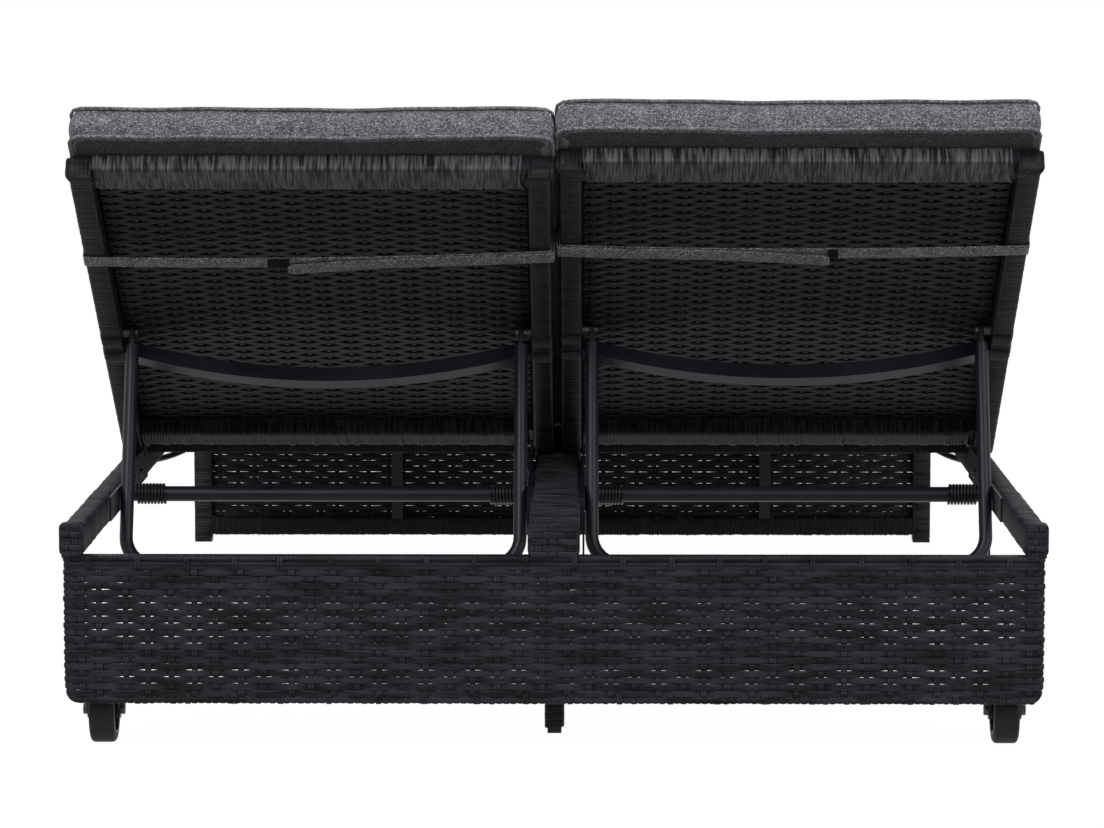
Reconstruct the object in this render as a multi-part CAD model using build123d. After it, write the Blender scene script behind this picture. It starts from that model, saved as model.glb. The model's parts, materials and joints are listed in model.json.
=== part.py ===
"""Double chaise lounger: one woven base on legs and wheels, two backrests that tilt.

Millimetres. +X is to the right seen from the head end, +Y runs from the head end to
the foot end and +Z is up. The origin is on the ground under the middle of the base.
Distances "from the head" are measured from the head panel's outer face.
"""
import os
from math import cos, radians, sin, sqrt

from build123d import *

# Overall plan
LENGTH = 2000.0
HEAD_PANEL_HALF_WIDTH = 650.0
RAIL_UNDERSIDE = 262.0
RAIL_DEPTH = 38.0
RAIL_WIDTH = 28.5
RAIL_PROUD_OF_PANEL = 3.0
RAIL_OUTER_X = HEAD_PANEL_HALF_WIDTH + RAIL_PROUD_OF_PANEL
RAIL_INNER_X = RAIL_OUTER_X - RAIL_WIDTH
RAIL_TOP = RAIL_UNDERSIDE + RAIL_DEPTH
SPINE_HALF_WIDTH = 32.5
SPINE_PAD_THICKNESS = 5.0
SEAT_CENTRE_X = (RAIL_INNER_X + SPINE_HALF_WIDTH + SPINE_PAD_THICKNESS) / 2
OVERRUN = 50.0
FACE_GAP = 1.0
SOFT_GAP = 0.3

# Wicker and tube stock
TUBE_WALL = 1.5
WRAP_THICKNESS = 1.5
WEAVE_THICKNESS = 4.0

# Head panel
HEAD_PANEL_BOTTOM = 63.0
HEAD_PANEL_CORNER = 22.0
HEAD_WEAVE_THICKNESS = 3.0
HEAD_POST_WIDTH = 24.0
HEAD_POST_DEPTH = 20.0
HEAD_POST_INSET = 2.0
HEAD_BAR_DEPTH = 20.0
HEAD_MIDDLE_BAR_BOTTOM = 118.0
HEAD_END_WRAP_RISE = 6.0
HEAD_END_WRAP_SIDE = 1.8
HEAD_END_WRAP_LENGTH = 22.0

# Foot end
FOOT_LEG_WIDTH = 32.0
FOOT_LEG_PROUD = 5.0
FOOT_LEG_OUTER_X = RAIL_OUTER_X + FOOT_LEG_PROUD
FOOT_CAP_HEIGHT = 6.0
FOOT_CAP_INSET = 1.0
FOOT_FRAME_DEPTH = 20.0
FOOT_WEAVE_SETBACK = 4.0
FOOT_BAR_BOTTOM = 14.0
FOOT_BAR_HEIGHT = 28.0
FOOT_WEAVE_BOTTOM = 16.0
FOOT_STIFFENER_LEFT_X = -295.0
FOOT_STIFFENER_RIGHT_X = 362.0
FOOT_STIFFENER_WIDTH = 20.0

# Middle leg under the spine, near the head
MIDDLE_LEG_FROM_HEAD = 130.0
MIDDLE_LEG_WIDTH = 27.0
MIDDLE_CAP_WIDTH = 19.0
MIDDLE_CAP_HEIGHT = 12.0
MIDDLE_PLUG_LENGTH = 10.0

# Side braces, shallow arcs from rail to foot leg
BRACE_RADIUS = 5.0
BRACE_INSET = 13.0
BRACE_X = RAIL_OUTER_X - BRACE_INSET
BRACE_START_FROM_HEAD = 1040.0
BRACE_END_HEIGHT = 187.0
BRACE_SAG = 7.0

# Wheels
WHEEL_RADIUS = 45.0
TYRE_WIDTH = 34.0
TYRE_DEPTH = 12.0
TYRE_EDGE_ROUND = 6.0
WHEEL_INSET = 45.0
WHEEL_X = HEAD_PANEL_HALF_WIDTH - WHEEL_INSET
WHEEL_FROM_HEAD = 70.0
HUB_OVERWIDTH = 1.0
HUB_BOSS_RADIUS = 12.0
HUB_DISH = 9.0
HUB_RIM_WALL = 3.0
AXLE_RADIUS = 4.0
AXLE_HEAD_RADIUS = 7.5
AXLE_HEAD_LENGTH = 6.0
RUNNING_FIT = 0.05
FORK_PLATE = 3.0
FORK_TOP = 142.0
FORK_EAR_RADIUS = 13.0
FORK_TOP_REACH = 28.0
FORK_CROWN_GAP = 6.0

# Backrest, measured from its hinge axis (u) and its rear face (n)
HINGE_FROM_HEAD = 810.0
HINGE_HEIGHT = 318.0
BACK_LENGTH = 785.0
BACK_DEPTH = 34.0
BACK_RAIL_WIDTH = 30.5
BACK_RAIL_INNER = RAIL_INNER_X - SEAT_CENTRE_X + FACE_GAP
BACK_HALF_WIDTH = BACK_RAIL_INNER + BACK_RAIL_WIDTH
BACK_TOP_RAIL_HEIGHT = 50.0
BACK_TOP_RAIL_DEPTH = 20.0
BACK_BOTTOM_RAIL_START = 18.0
BACK_BOTTOM_RAIL_HEIGHT = 32.0
BACK_BOTTOM_RAIL_DEPTH = 23.0
BACK_WEAVE_SETBACK = 3.0
BACK_ANGLE_LEFT = 35.0
BACK_ANGLE_RIGHT = 35.9
BACK_ANGLE_MAX = 41.0

# Curved brace across the rear of each backrest
ARC_BRACE_START = 281.0
ARC_BRACE_WIDTH = 22.5
ARC_BRACE_SAG = 46.0

# Hinge bolts and lugs
HINGE_BOLT_RADIUS = 4.0
HINGE_HEAD_RADIUS = 6.5
HINGE_HEAD_LENGTH = 4.0
LUG_RADIUS = 15.0
LUG_THICKNESS = 3.0
PLATE_START_FROM_HEAD = 324.0
PLATE_BOTTOM = 264.0
PLATE_SHOULDER_FROM_HEAD = 600.0
PLATE_SHOULDER_HEIGHT = 311.0
PLATE_SHOULDER_END_FROM_HEAD = 778.0
PLATE_EDGE_DROP = 2.0
SPINE_PAD_LENGTH = 412.0
PLATE_BOLTS_FROM_HEAD = (623.0, 715.0)
PLATE_BOLT_HEIGHT = 283.0
PLATE_BOLT_REACH = 12.0

# Cross tubes and their wire windings
CROSS_TUBE_FROM_HEAD = 545.0
CROSS_TUBE_HEIGHT = 274.0
CROSS_TUBE_RADIUS = 11.0
WIRE_RADIUS = 2.0
WIRE_TO_TUBE = 0.3
WIRE_PITCH = 4.77
OUTER_TURNS = 9
INNER_TURNS = 9

# U-shaped stand that props each backrest
STAND_PIVOT_U = 335.0
STAND_LENGTH = 347.6
STAND_TUBE_RADIUS = 9.5
STAND_SIDE_GAP = 14.5
STAND_HALF_WIDTH = BACK_RAIL_INNER - STAND_SIDE_GAP
STAND_BEND_RADIUS = 42.0
STAND_FLAT_ANGLE = 8.0
STAND_RATIO = 2.687
STAND_TAB_THICKNESS = 6.0
STAND_TAB_RADIUS = 9.0
STAND_TAB_LENGTH = 40.0
PIVOT_BOLT_RADIUS = 4.0
PIVOT_HEAD_RADIUS = 7.0
PIVOT_HEAD_LENGTH = 4.0
SPACER_RADIUS = 8.0

# Notched racks that the stands rest in
RACK_THICKNESS = 5.0
RACK_FROM_STAND_SIDE = 80.0
RACK_HALF_SPACING = STAND_HALF_WIDTH - RACK_FROM_STAND_SIDE
RACK_END_FROM_HEAD = 522.0
RACK_CLEARANCE = 1.5
RACK_LOWEST_BAR = 188.4
RACK_HEIGHT = 27.0
RACK_NOTCH_PITCH = 63.0
RACK_NOTCH_COUNT = 6
RACK_NOTCH_ROUND = 0.8
RACK_HEEL_LENGTH = 15.0
CARRIER_SIZE = 20.0
HANGER_MARGIN = 5.0

# Seat frames
SEAT_FRAME_DEPTH = 37.0
SEAT_START_FROM_HEAD = 830.0
SEAT_END_FROM_FOOT = 5.0
SEAT_RAIL_WIDTH = 30.5
SEAT_SLAT_COUNT = 3
SEAT_SLAT_WIDTH = 20.0
SEAT_SLAT_DEPTH = 18.0

# Straps round the backrests
STRAP_RISE_LEFT = 573.0
STRAP_RISE_RIGHT = 582.0
STRAP_WIDTH = 25.0
STRAP_THICKNESS = 1.5
STRAP_SAG = 6.0
PATCH_LENGTH_LEFT = 30.0
PATCH_LENGTH_RIGHT = 14.0
PATCH_OFFSET_X = 54.0

# Cushions
CUSHION_THICKNESS = 50.0
CUSHION_HALF_WIDTH = BACK_HALF_WIDTH - FACE_GAP
CUSHION_OVERHANG = 42.0
CUSHION_CROWN = 5.0
CUSHION_SIDE_BULGE = 4.0
CUSHION_END_DRAW = 7.0
CUSHION_END_ZONE = 45.0
CUSHION_LEAST_CROWN = 1.25
CUSHION_WAIST_SHARE = 0.3
CUSHION_STATIONS = (0, 0.25, 0.5, 0.75, 1)
CUSHION_MEETING_GAP = 3.0
CUSHION_FOOT_GAP = 6.0

# Derived places
HEAD_Y = -LENGTH / 2
FOOT_Y = LENGTH / 2
HINGE_Y = HEAD_Y + HINGE_FROM_HEAD
BACK_MIDDLE = BACK_DEPTH / 2
LUG_OUTER = BACK_RAIL_INNER - FACE_GAP
LUG_INNER = LUG_OUTER - LUG_THICKNESS
HEAD_FRAME_Y = HEAD_Y + HEAD_WEAVE_THICKNESS
HEAD_FRAME_REAR_Y = HEAD_FRAME_Y + HEAD_POST_DEPTH
SEAT_TOP = RAIL_TOP + SEAT_FRAME_DEPTH
SEAT_START_Y = HEAD_Y + SEAT_START_FROM_HEAD
SEAT_END_Y = FOOT_Y - SEAT_END_FROM_FOOT
RACK_TOP = RACK_LOWEST_BAR - STAND_TUBE_RADIUS - RACK_CLEARANCE
RACK_BOTTOM = RACK_TOP - RACK_HEIGHT
CARRIER_Y = HEAD_Y + RACK_END_FROM_HEAD - CARRIER_SIZE
SIDES = (("left", -1), ("right", 1))


def block(x0, x1, y0, y1, z0, z1):
    """A box between two corners."""
    centre = Pos((x0 + x1) / 2, (y0 + y1) / 2, (z0 + z1) / 2)
    return centre * Box(abs(x1 - x0), abs(y1 - y0), abs(z1 - z0))


def tube_along_x(x0, x1, y0, y1, z0, z1):
    """Rectangular tube with its bore along X."""
    t = TUBE_WALL
    return block(x0, x1, y0, y1, z0, z1) - block(x0 - t, x1 + t, y0 + t, y1 - t, z0 + t, z1 - t)


def tube_along_y(x0, x1, y0, y1, z0, z1):
    """Rectangular tube with its bore along Y."""
    t = TUBE_WALL
    return block(x0, x1, y0, y1, z0, z1) - block(x0 + t, x1 - t, y0 - t, y1 + t, z0 + t, z1 - t)


def tube_along_z(x0, x1, y0, y1, z0, z1):
    """Rectangular tube with its bore along Z."""
    t = TUBE_WALL
    return block(x0, x1, y0, y1, z0, z1) - block(x0 + t, x1 - t, y0 + t, y1 - t, z0 - t, z1 + t)


def rod(radius, start, end):
    """Round bar between two points of a line along one axis."""
    a = Vector(*start)
    b = Vector(*end)
    plane = Plane(origin=a, z_dir=(b - a).normalized())
    return extrude(plane * Circle(radius), (b - a).length)


def solids_of(shapes):
    """All separate solids in a list of shapes."""
    found = []
    for shape in shapes:
        found.extend(shape.solids())
    return found


def save(name, shapes):
    """Write one node: a single solid, or several side by side."""
    solids = solids_of(shapes if isinstance(shapes, (list, tuple)) else [shapes])
    shape = solids[0] if len(solids) == 1 else Compound(children=solids)
    shape.label = name
    export_step(shape, os.path.join("parts", name + ".step"))


def back_place(side):
    """Frame of a backrest: X across the seat, -Y towards its top, Z out of its front."""
    angle = BACK_ANGLE_LEFT if side < 0 else BACK_ANGLE_RIGHT
    return Pos(side * SEAT_CENTRE_X, HINGE_Y, HINGE_HEIGHT) * Rot(-angle, 0, 0)


def back_block(x0, x1, u0, u1, n0, n1):
    """A box in the backrest's own frame, from its across, up and depth limits."""
    return block(x0, x1, -u1, -u0, n0 - BACK_MIDDLE, n1 - BACK_MIDDLE)


def plate_on_side(points, x0, x1):
    """Flat plate in a YZ plane between two X limits."""
    face = make_face(Plane.YZ * Polyline(*points, close=True))
    return Pos(x0, 0, 0) * extrude(face, x1 - x0, dir=(1, 0, 0))


# Base frame

def rail_box(side, inset, y0, y1):
    """Outer box of a side rail, drawn in on every side by an inset."""
    x0, x1 = sorted((side * (RAIL_INNER_X + inset), side * (RAIL_OUTER_X - inset)))
    return x0, x1, y0, y1, RAIL_UNDERSIDE + inset, RAIL_TOP - inset


def plate_bolt(side, from_head, lug_x, rail_x):
    """Bolt head and shank that hold a bracket plate; X values are signed by side."""
    y = HEAD_Y + from_head
    head = rod(HINGE_HEAD_RADIUS, (lug_x, y, PLATE_BOLT_HEIGHT),
               (lug_x + side * HINGE_HEAD_LENGTH, y, PLATE_BOLT_HEIGHT))
    shank = rod(HINGE_BOLT_RADIUS, (lug_x, y, PLATE_BOLT_HEIGHT), (rail_x, y, PLATE_BOLT_HEIGHT))
    return head + shank


def make_plate_bolts():
    """Two bolts through each of the four bracket plates."""
    bolts = []
    for name, side in SIDES:
        outer_plate = side * (SEAT_CENTRE_X + LUG_INNER)
        inner_plate = side * (SEAT_CENTRE_X - LUG_INNER)
        for from_head in PLATE_BOLTS_FROM_HEAD:
            outer_end = side * (RAIL_INNER_X + PLATE_BOLT_REACH)
            inner_end = side * (SPINE_HALF_WIDTH - PLATE_BOLT_REACH)
            bolts.append(plate_bolt(-side, from_head, outer_plate, outer_end))
            bolts.append(plate_bolt(side, from_head, inner_plate, inner_end))
    return bolts


def cut_all(shape, tools):
    """Take every tool out of a shape."""
    for tool in tools:
        shape = shape - tool
    return shape


def make_side_rail(side, bolts):
    """Steel tube inside one side rail's wrap."""
    return cut_all(tube_along_y(*rail_box(side, WRAP_THICKNESS, HEAD_Y, FOOT_Y)), bolts)


def make_spine(bolts):
    """Steel tube down the middle, inside its wrap; it stops at the foot cross rail."""
    half = SPINE_HALF_WIDTH - WRAP_THICKNESS
    tube = tube_along_y(-half, half, HEAD_Y, spine_end(), RAIL_UNDERSIDE + WRAP_THICKNESS,
                        RAIL_TOP - WRAP_THICKNESS)
    return cut_all(tube, bolts)


def spine_end():
    """Y where the spine meets the foot cross rail."""
    return FOOT_Y - FOOT_WEAVE_SETBACK - WEAVE_THICKNESS - FOOT_FRAME_DEPTH


def make_rail_wraps(bolts):
    """Strand wraps round the two side rails and the spine."""
    wraps = []
    for name, side in SIDES:
        outer = block(*rail_box(side, 0, HEAD_Y, FOOT_Y))
        inner = block(*rail_box(side, WRAP_THICKNESS, HEAD_Y - OVERRUN, FOOT_Y + OVERRUN))
        wraps.append(cut_all(outer - inner, bolts))
    half = SPINE_HALF_WIDTH
    outer = block(-half, half, HEAD_Y, spine_end(), RAIL_UNDERSIDE, RAIL_TOP)
    inner = block(-half + WRAP_THICKNESS, half - WRAP_THICKNESS, HEAD_Y - OVERRUN,
                  FOOT_Y, RAIL_UNDERSIDE + WRAP_THICKNESS, RAIL_TOP - WRAP_THICKNESS)
    wraps.append(cut_all(outer - inner, bolts))
    return wraps


def make_head_end_wraps():
    """Thicker bindings over the head ends of the rails and the spine."""
    bindings = []
    spans = [(RAIL_INNER_X, RAIL_OUTER_X), (-RAIL_OUTER_X, -RAIL_INNER_X),
             (-SPINE_HALF_WIDTH, SPINE_HALF_WIDTH)]
    for x0, x1 in spans:
        outer = block(x0 - HEAD_END_WRAP_SIDE, x1 + HEAD_END_WRAP_SIDE, HEAD_Y,
                      HEAD_Y + HEAD_END_WRAP_LENGTH, RAIL_UNDERSIDE,
                      RAIL_TOP + HEAD_END_WRAP_RISE)
        rail = block(x0, x1, HEAD_Y - OVERRUN, HEAD_Y + OVERRUN, RAIL_UNDERSIDE - OVERRUN, RAIL_TOP)
        bindings.append(outer - rail)
    return bindings


def head_post_span():
    """Inner and outer X of the right head post."""
    outer = HEAD_PANEL_HALF_WIDTH - HEAD_POST_INSET
    return outer - HEAD_POST_WIDTH, outer


def make_head_frame():
    """Posts and cross bars behind the head panel's weave; the posts stand on the bottom bar."""
    inner, outer = head_post_span()
    bottom = HEAD_PANEL_BOTTOM + HEAD_POST_INSET
    seat = bottom + HEAD_BAR_DEPTH
    reach = outer - (HEAD_PANEL_CORNER - HEAD_POST_INSET)
    y0 = HEAD_FRAME_Y
    y1 = HEAD_FRAME_REAR_Y
    pieces = [tube_along_z(inner, outer, y0, y1, seat, RAIL_UNDERSIDE),
              tube_along_z(-outer, -inner, y0, y1, seat, RAIL_UNDERSIDE),
              tube_along_x(-reach, reach, y0, y1, bottom, seat)]
    for z0 in (HEAD_MIDDLE_BAR_BOTTOM, RAIL_UNDERSIDE - HEAD_BAR_DEPTH):
        pieces.append(tube_along_x(-inner, inner, y0, y1, z0, z0 + HEAD_BAR_DEPTH))
    half = HEAD_POST_WIDTH / 2
    middle_top = HEAD_MIDDLE_BAR_BOTTOM + HEAD_BAR_DEPTH
    pieces.append(tube_along_z(-half, half, y0, y1, seat, HEAD_MIDDLE_BAR_BOTTOM))
    pieces.append(tube_along_z(-half, half, y0, y1, middle_top, RAIL_UNDERSIDE - HEAD_BAR_DEPTH))
    return pieces


def make_head_weave():
    """Woven sheet over the head panel, with rounded lower corners."""
    sheet = block(-HEAD_PANEL_HALF_WIDTH, HEAD_PANEL_HALF_WIDTH, HEAD_Y, HEAD_FRAME_Y,
                  HEAD_PANEL_BOTTOM, RAIL_UNDERSIDE)
    corners = sheet.edges().filter_by(Axis.Y).group_by(Axis.Z)[0]
    return fillet(corners, HEAD_PANEL_CORNER)


def foot_leg_span():
    """Inner and outer X of the right foot leg."""
    return FOOT_LEG_OUTER_X - FOOT_LEG_WIDTH, FOOT_LEG_OUTER_X


def make_leg_tubes():
    """Two foot legs and the middle leg, all capped at the ground."""
    inner, outer = foot_leg_span()
    t = WRAP_THICKNESS
    y0 = FOOT_Y - FOOT_LEG_WIDTH
    legs = [tube_along_z(inner + t, outer - t, y0 + t, FOOT_Y - t, FOOT_CAP_HEIGHT, RAIL_UNDERSIDE),
            tube_along_z(-outer + t, -inner - t, y0 + t, FOOT_Y - t, FOOT_CAP_HEIGHT,
                         RAIL_UNDERSIDE)]
    half = MIDDLE_LEG_WIDTH / 2
    y0 = HEAD_Y + MIDDLE_LEG_FROM_HEAD
    y1 = y0 + MIDDLE_LEG_WIDTH
    legs.append(tube_along_z(-half + t, half - t, y0 + t, y1 - t, MIDDLE_CAP_HEIGHT, RAIL_UNDERSIDE))
    return legs


def make_leg_wraps():
    """Strand wraps round the three legs."""
    inner, outer = foot_leg_span()
    half = MIDDLE_LEG_WIDTH / 2
    y_middle = HEAD_Y + MIDDLE_LEG_FROM_HEAD
    boxes = [(inner, outer, FOOT_Y - FOOT_LEG_WIDTH, FOOT_Y, FOOT_CAP_HEIGHT),
             (-outer, -inner, FOOT_Y - FOOT_LEG_WIDTH, FOOT_Y, FOOT_CAP_HEIGHT),
             (-half, half, y_middle, y_middle + MIDDLE_LEG_WIDTH, MIDDLE_CAP_HEIGHT)]
    t = WRAP_THICKNESS
    wraps = []
    for x0, x1, y0, y1, z0 in boxes:
        inside = block(x0 + t, x1 - t, y0 + t, y1 - t, z0 - OVERRUN, RAIL_TOP)
        wraps.append(block(x0, x1, y0, y1, z0, RAIL_UNDERSIDE) - inside)
    return wraps


def make_foot_caps():
    """Plastic feet under the three legs."""
    inner, outer = foot_leg_span()
    g = FOOT_CAP_INSET
    y0 = FOOT_Y - FOOT_LEG_WIDTH + g
    caps = [block(inner + g, outer - g, y0, FOOT_Y - g, 0, FOOT_CAP_HEIGHT),
            block(-outer + g, -inner - g, y0, FOOT_Y - g, 0, FOOT_CAP_HEIGHT)]
    half = MIDDLE_CAP_WIDTH / 2
    y_middle = HEAD_Y + MIDDLE_LEG_FROM_HEAD + MIDDLE_LEG_WIDTH / 2
    cap = block(-half, half, y_middle - half, y_middle + half, 0, MIDDLE_CAP_HEIGHT)
    bore = MIDDLE_LEG_WIDTH / 2 - WRAP_THICKNESS - TUBE_WALL
    cap += block(-bore, bore, y_middle - bore, y_middle + bore, MIDDLE_CAP_HEIGHT,
                 MIDDLE_CAP_HEIGHT + MIDDLE_PLUG_LENGTH)
    caps.append(cap)
    return caps


def make_foot_frame():
    """Cross rail, bottom bar and two stiffeners of the foot panel."""
    inner = foot_leg_span()[0]
    y0 = spine_end()
    y1 = y0 + FOOT_FRAME_DEPTH
    bar_top = FOOT_BAR_BOTTOM + FOOT_BAR_HEIGHT
    pieces = [tube_along_x(-RAIL_INNER_X, RAIL_INNER_X, y0, y1, RAIL_UNDERSIDE, RAIL_TOP),
              tube_along_x(-inner, inner, y0, y1, FOOT_BAR_BOTTOM, bar_top)]
    for x in (FOOT_STIFFENER_LEFT_X, FOOT_STIFFENER_RIGHT_X):
        half = FOOT_STIFFENER_WIDTH / 2
        pieces.append(tube_along_z(x - half, x + half, y0, y1, bar_top, RAIL_UNDERSIDE))
    return pieces


def make_foot_weave():
    """Woven sheet in front of the foot panel's frame."""
    y0 = spine_end() + FOOT_FRAME_DEPTH
    return block(-RAIL_INNER_X, RAIL_INNER_X, y0, y0 + WEAVE_THICKNESS, FOOT_WEAVE_BOTTOM, RAIL_TOP)


def make_side_brace(side):
    """Shallow arc from the rail's underside down to the foot leg."""
    leg_y = FOOT_Y - FOOT_LEG_WIDTH
    start_y = HEAD_Y + BRACE_START_FROM_HEAD
    middle = ((start_y + leg_y) / 2, (RAIL_UNDERSIDE + BRACE_END_HEIGHT) / 2 - BRACE_SAG)
    slope = (BRACE_END_HEIGHT - RAIL_UNDERSIDE) / (leg_y - start_y)
    reach = FOOT_LEG_WIDTH / 2
    path = ThreePointArc((side * BRACE_X, start_y - reach, RAIL_UNDERSIDE - slope * reach),
                         (side * BRACE_X, middle[0], middle[1]),
                         (side * BRACE_X, leg_y + reach, BRACE_END_HEIGHT + slope * reach))
    section = Plane(origin=path @ 0, z_dir=path % 0) * Circle(BRACE_RADIUS)
    bar = sweep(section, path=path)
    rail = block(*rail_box(side, 0, HEAD_Y, FOOT_Y + OVERRUN))
    inner, outer = foot_leg_span()
    leg = block(side * inner, side * outer, leg_y, FOOT_Y + OVERRUN, 0, RAIL_UNDERSIDE)
    pieces = (bar - rail - leg).solids().sort_by(SortBy.VOLUME)
    return pieces[-1]


# Brackets, cross tubes and racks

def bracket_outline(hanger_low):
    """Side view of a bracket plate: strip, shoulder, hinge lug and rack hanger."""
    start = HEAD_Y + PLATE_START_FROM_HEAD
    top = RAIL_TOP - PLATE_EDGE_DROP
    shoulder = HEAD_Y + PLATE_SHOULDER_FROM_HEAD
    shoulder_end = HEAD_Y + PLATE_SHOULDER_END_FROM_HEAD
    rise = PLATE_SHOULDER_HEIGHT - top
    lug_start = HINGE_Y - LUG_RADIUS
    lug_end = HINGE_Y + LUG_RADIUS
    hanger_start = CARRIER_Y - HANGER_MARGIN
    hanger_end = CARRIER_Y + CARRIER_SIZE + HANGER_MARGIN
    return [(start, PLATE_BOTTOM), (start, top), (shoulder, top),
            (shoulder + rise, PLATE_SHOULDER_HEIGHT),
            (shoulder_end - rise, PLATE_SHOULDER_HEIGHT), (shoulder_end, top),
            (lug_start, top), (lug_start, HINGE_HEIGHT), (lug_end, HINGE_HEIGHT),
            (lug_end, PLATE_BOTTOM), (hanger_end, PLATE_BOTTOM), (hanger_end, hanger_low),
            (hanger_start, hanger_low), (hanger_start, PLATE_BOTTOM)]


def make_bracket(side, toward_rail, bolts):
    """Bracket plate on a rail (toward_rail 1) or on the spine (toward_rail -1)."""
    direction = side * toward_rail
    x_near = side * SEAT_CENTRE_X + direction * LUG_INNER
    x_far = side * SEAT_CENTRE_X + direction * LUG_OUTER
    x0 = min(x_near, x_far)
    x1 = max(x_near, x_far)
    plate = plate_on_side(bracket_outline(RACK_BOTTOM - CARRIER_SIZE - HANGER_MARGIN), x0, x1)
    plate += rod(LUG_RADIUS, (x0, HINGE_Y, HINGE_HEIGHT), (x1, HINGE_Y, HINGE_HEIGHT))
    if toward_rail < 0:
        pad_start = HEAD_Y + PLATE_START_FROM_HEAD
        plate += block(x_far, side * SPINE_HALF_WIDTH, pad_start, pad_start + SPINE_PAD_LENGTH,
                       PLATE_BOTTOM, RAIL_TOP - PLATE_EDGE_DROP)
    plate -= rod(HINGE_BOLT_RADIUS + RUNNING_FIT, (x0 - OVERRUN, HINGE_Y, HINGE_HEIGHT),
                 (x1 + OVERRUN, HINGE_Y, HINGE_HEIGHT))
    return cut_all(plate, bolts)


def cross_tube_point(x):
    """Point on a cross tube's centre line."""
    return (x, HEAD_Y + CROSS_TUBE_FROM_HEAD, CROSS_TUBE_HEIGHT)


def make_cross_tube(side):
    """Round tube between the two brackets of one seat."""
    start = cross_tube_point(side * (SEAT_CENTRE_X - LUG_INNER))
    end = cross_tube_point(side * (SEAT_CENTRE_X + LUG_INNER))
    return rod(CROSS_TUBE_RADIUS, start, end) - rod(CROSS_TUBE_RADIUS - TUBE_WALL, start, end)


def biarc(p0, t0, p1, t1):
    """Two arcs that leave p0 along t0, join smoothly and reach p1 along t1."""
    v = p1 - p0
    t = t0 + t1
    bend = 2 * (1 - t0.dot(t1))
    d = (-v.dot(t) + sqrt(v.dot(t) ** 2 + bend * v.dot(v))) / bend
    joint = (p0 + p1 + (t0 - t1) * d) * 0.5
    first = TangentArc(p0, joint, tangent=t0)
    second = TangentArc(joint, p1, tangent=first % 1)
    return [first, second]


def winding_radius():
    """Radius of the wire's centre line about the cross tube."""
    return CROSS_TUBE_RADIUS + WIRE_TO_TUBE + WIRE_RADIUS


def winding_point(plate_x, direction, lead, turn):
    """Point and direction of the helix after a number of turns."""
    radius = winding_radius()
    angle = radians(360 * turn)
    axis = Vector(*cross_tube_point(plate_x + direction * (lead + WIRE_PITCH * turn)))
    point = axis + Vector(0, -radius * cos(angle), radius * sin(angle))
    travel = 360 * radians(1) * radius
    along = Vector(direction * WIRE_PITCH, travel * sin(angle), travel * cos(angle))
    return point, along.normalized()


def make_winding(plate_x, direction, turns):
    """Wire wound round a cross tube from its bracket; direction is +1 or -1 along X."""
    straight = 2 * WIRE_RADIUS
    bend = 2 * straight
    lead = straight + bend
    quarter_turns = 4 * turns
    edges = []
    stations = [winding_point(plate_x, direction, lead, k / 4) for k in range(quarter_turns + 1)]
    for (p0, t0), (p1, t1) in zip(stations, stations[1:]):
        edges.extend(biarc(p0, t0, p1, t1))
    first_point, first_along = stations[0]
    into = Vector(direction, 0, 0)
    base = first_point - first_along * bend
    turn_start = Vector(plate_x + direction * straight, base.Y, base.Z)
    head = biarc(turn_start, into, first_point, first_along)
    foot = Vector(plate_x, base.Y, base.Z)
    lead_in = Line(foot, turn_start)
    last_point, last_along = stations[-1]
    lead_out = Line(last_point, last_point + last_along * straight)
    path = Wire([lead_in] + head + edges + [lead_out])
    section = Plane(origin=foot, z_dir=into) * Circle(WIRE_RADIUS)
    return sweep(section, path=path), stations


def least_self_gap(stations):
    """Smallest gap between turns, measured between points one turn apart."""
    points = [point for point, along in stations]
    gaps = [(a - b).length for a, b in zip(points, points[4:])]
    return min(gaps) - 2 * WIRE_RADIUS


def make_rack_plate(x):
    """Notched plate just under the path of the stand's bar, its heel on the head panel's bar."""
    half = RACK_THICKNESS / 2
    start = HEAD_FRAME_REAR_Y
    end = HEAD_Y + RACK_END_FROM_HEAD
    plate = block(x - half, x + half, start, end, RACK_BOTTOM, RACK_TOP)
    plate += block(x - half, x + half, start, start + RACK_HEEL_LENGTH, HEAD_MIDDLE_BAR_BOTTOM,
                   RACK_BOTTOM)
    notch = STAND_TUBE_RADIUS + RACK_NOTCH_ROUND
    bar_y = HEAD_Y + stand_bar(BACK_ANGLE_LEFT)[0]
    for k in range(RACK_NOTCH_COUNT):
        y = bar_y + RACK_NOTCH_PITCH * (1 - k)
        plate -= rod(notch, (x - half - OVERRUN, y, RACK_TOP), (x + half + OVERRUN, y, RACK_TOP))
    return plate


def make_racks(side):
    """The two notched plates of one seat."""
    centre = side * SEAT_CENTRE_X
    return [make_rack_plate(centre - RACK_HALF_SPACING), make_rack_plate(centre + RACK_HALF_SPACING)]


def make_carriers():
    """Square tubes that carry the racks' inner ends between the hangers."""
    top = RACK_BOTTOM
    low = SEAT_CENTRE_X - LUG_INNER
    high = SEAT_CENTRE_X + LUG_INNER
    return [tube_along_x(side * low, side * high, CARRIER_Y, CARRIER_Y + CARRIER_SIZE,
                         top - CARRIER_SIZE, top) for name, side in SIDES]


# Seats

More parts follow.
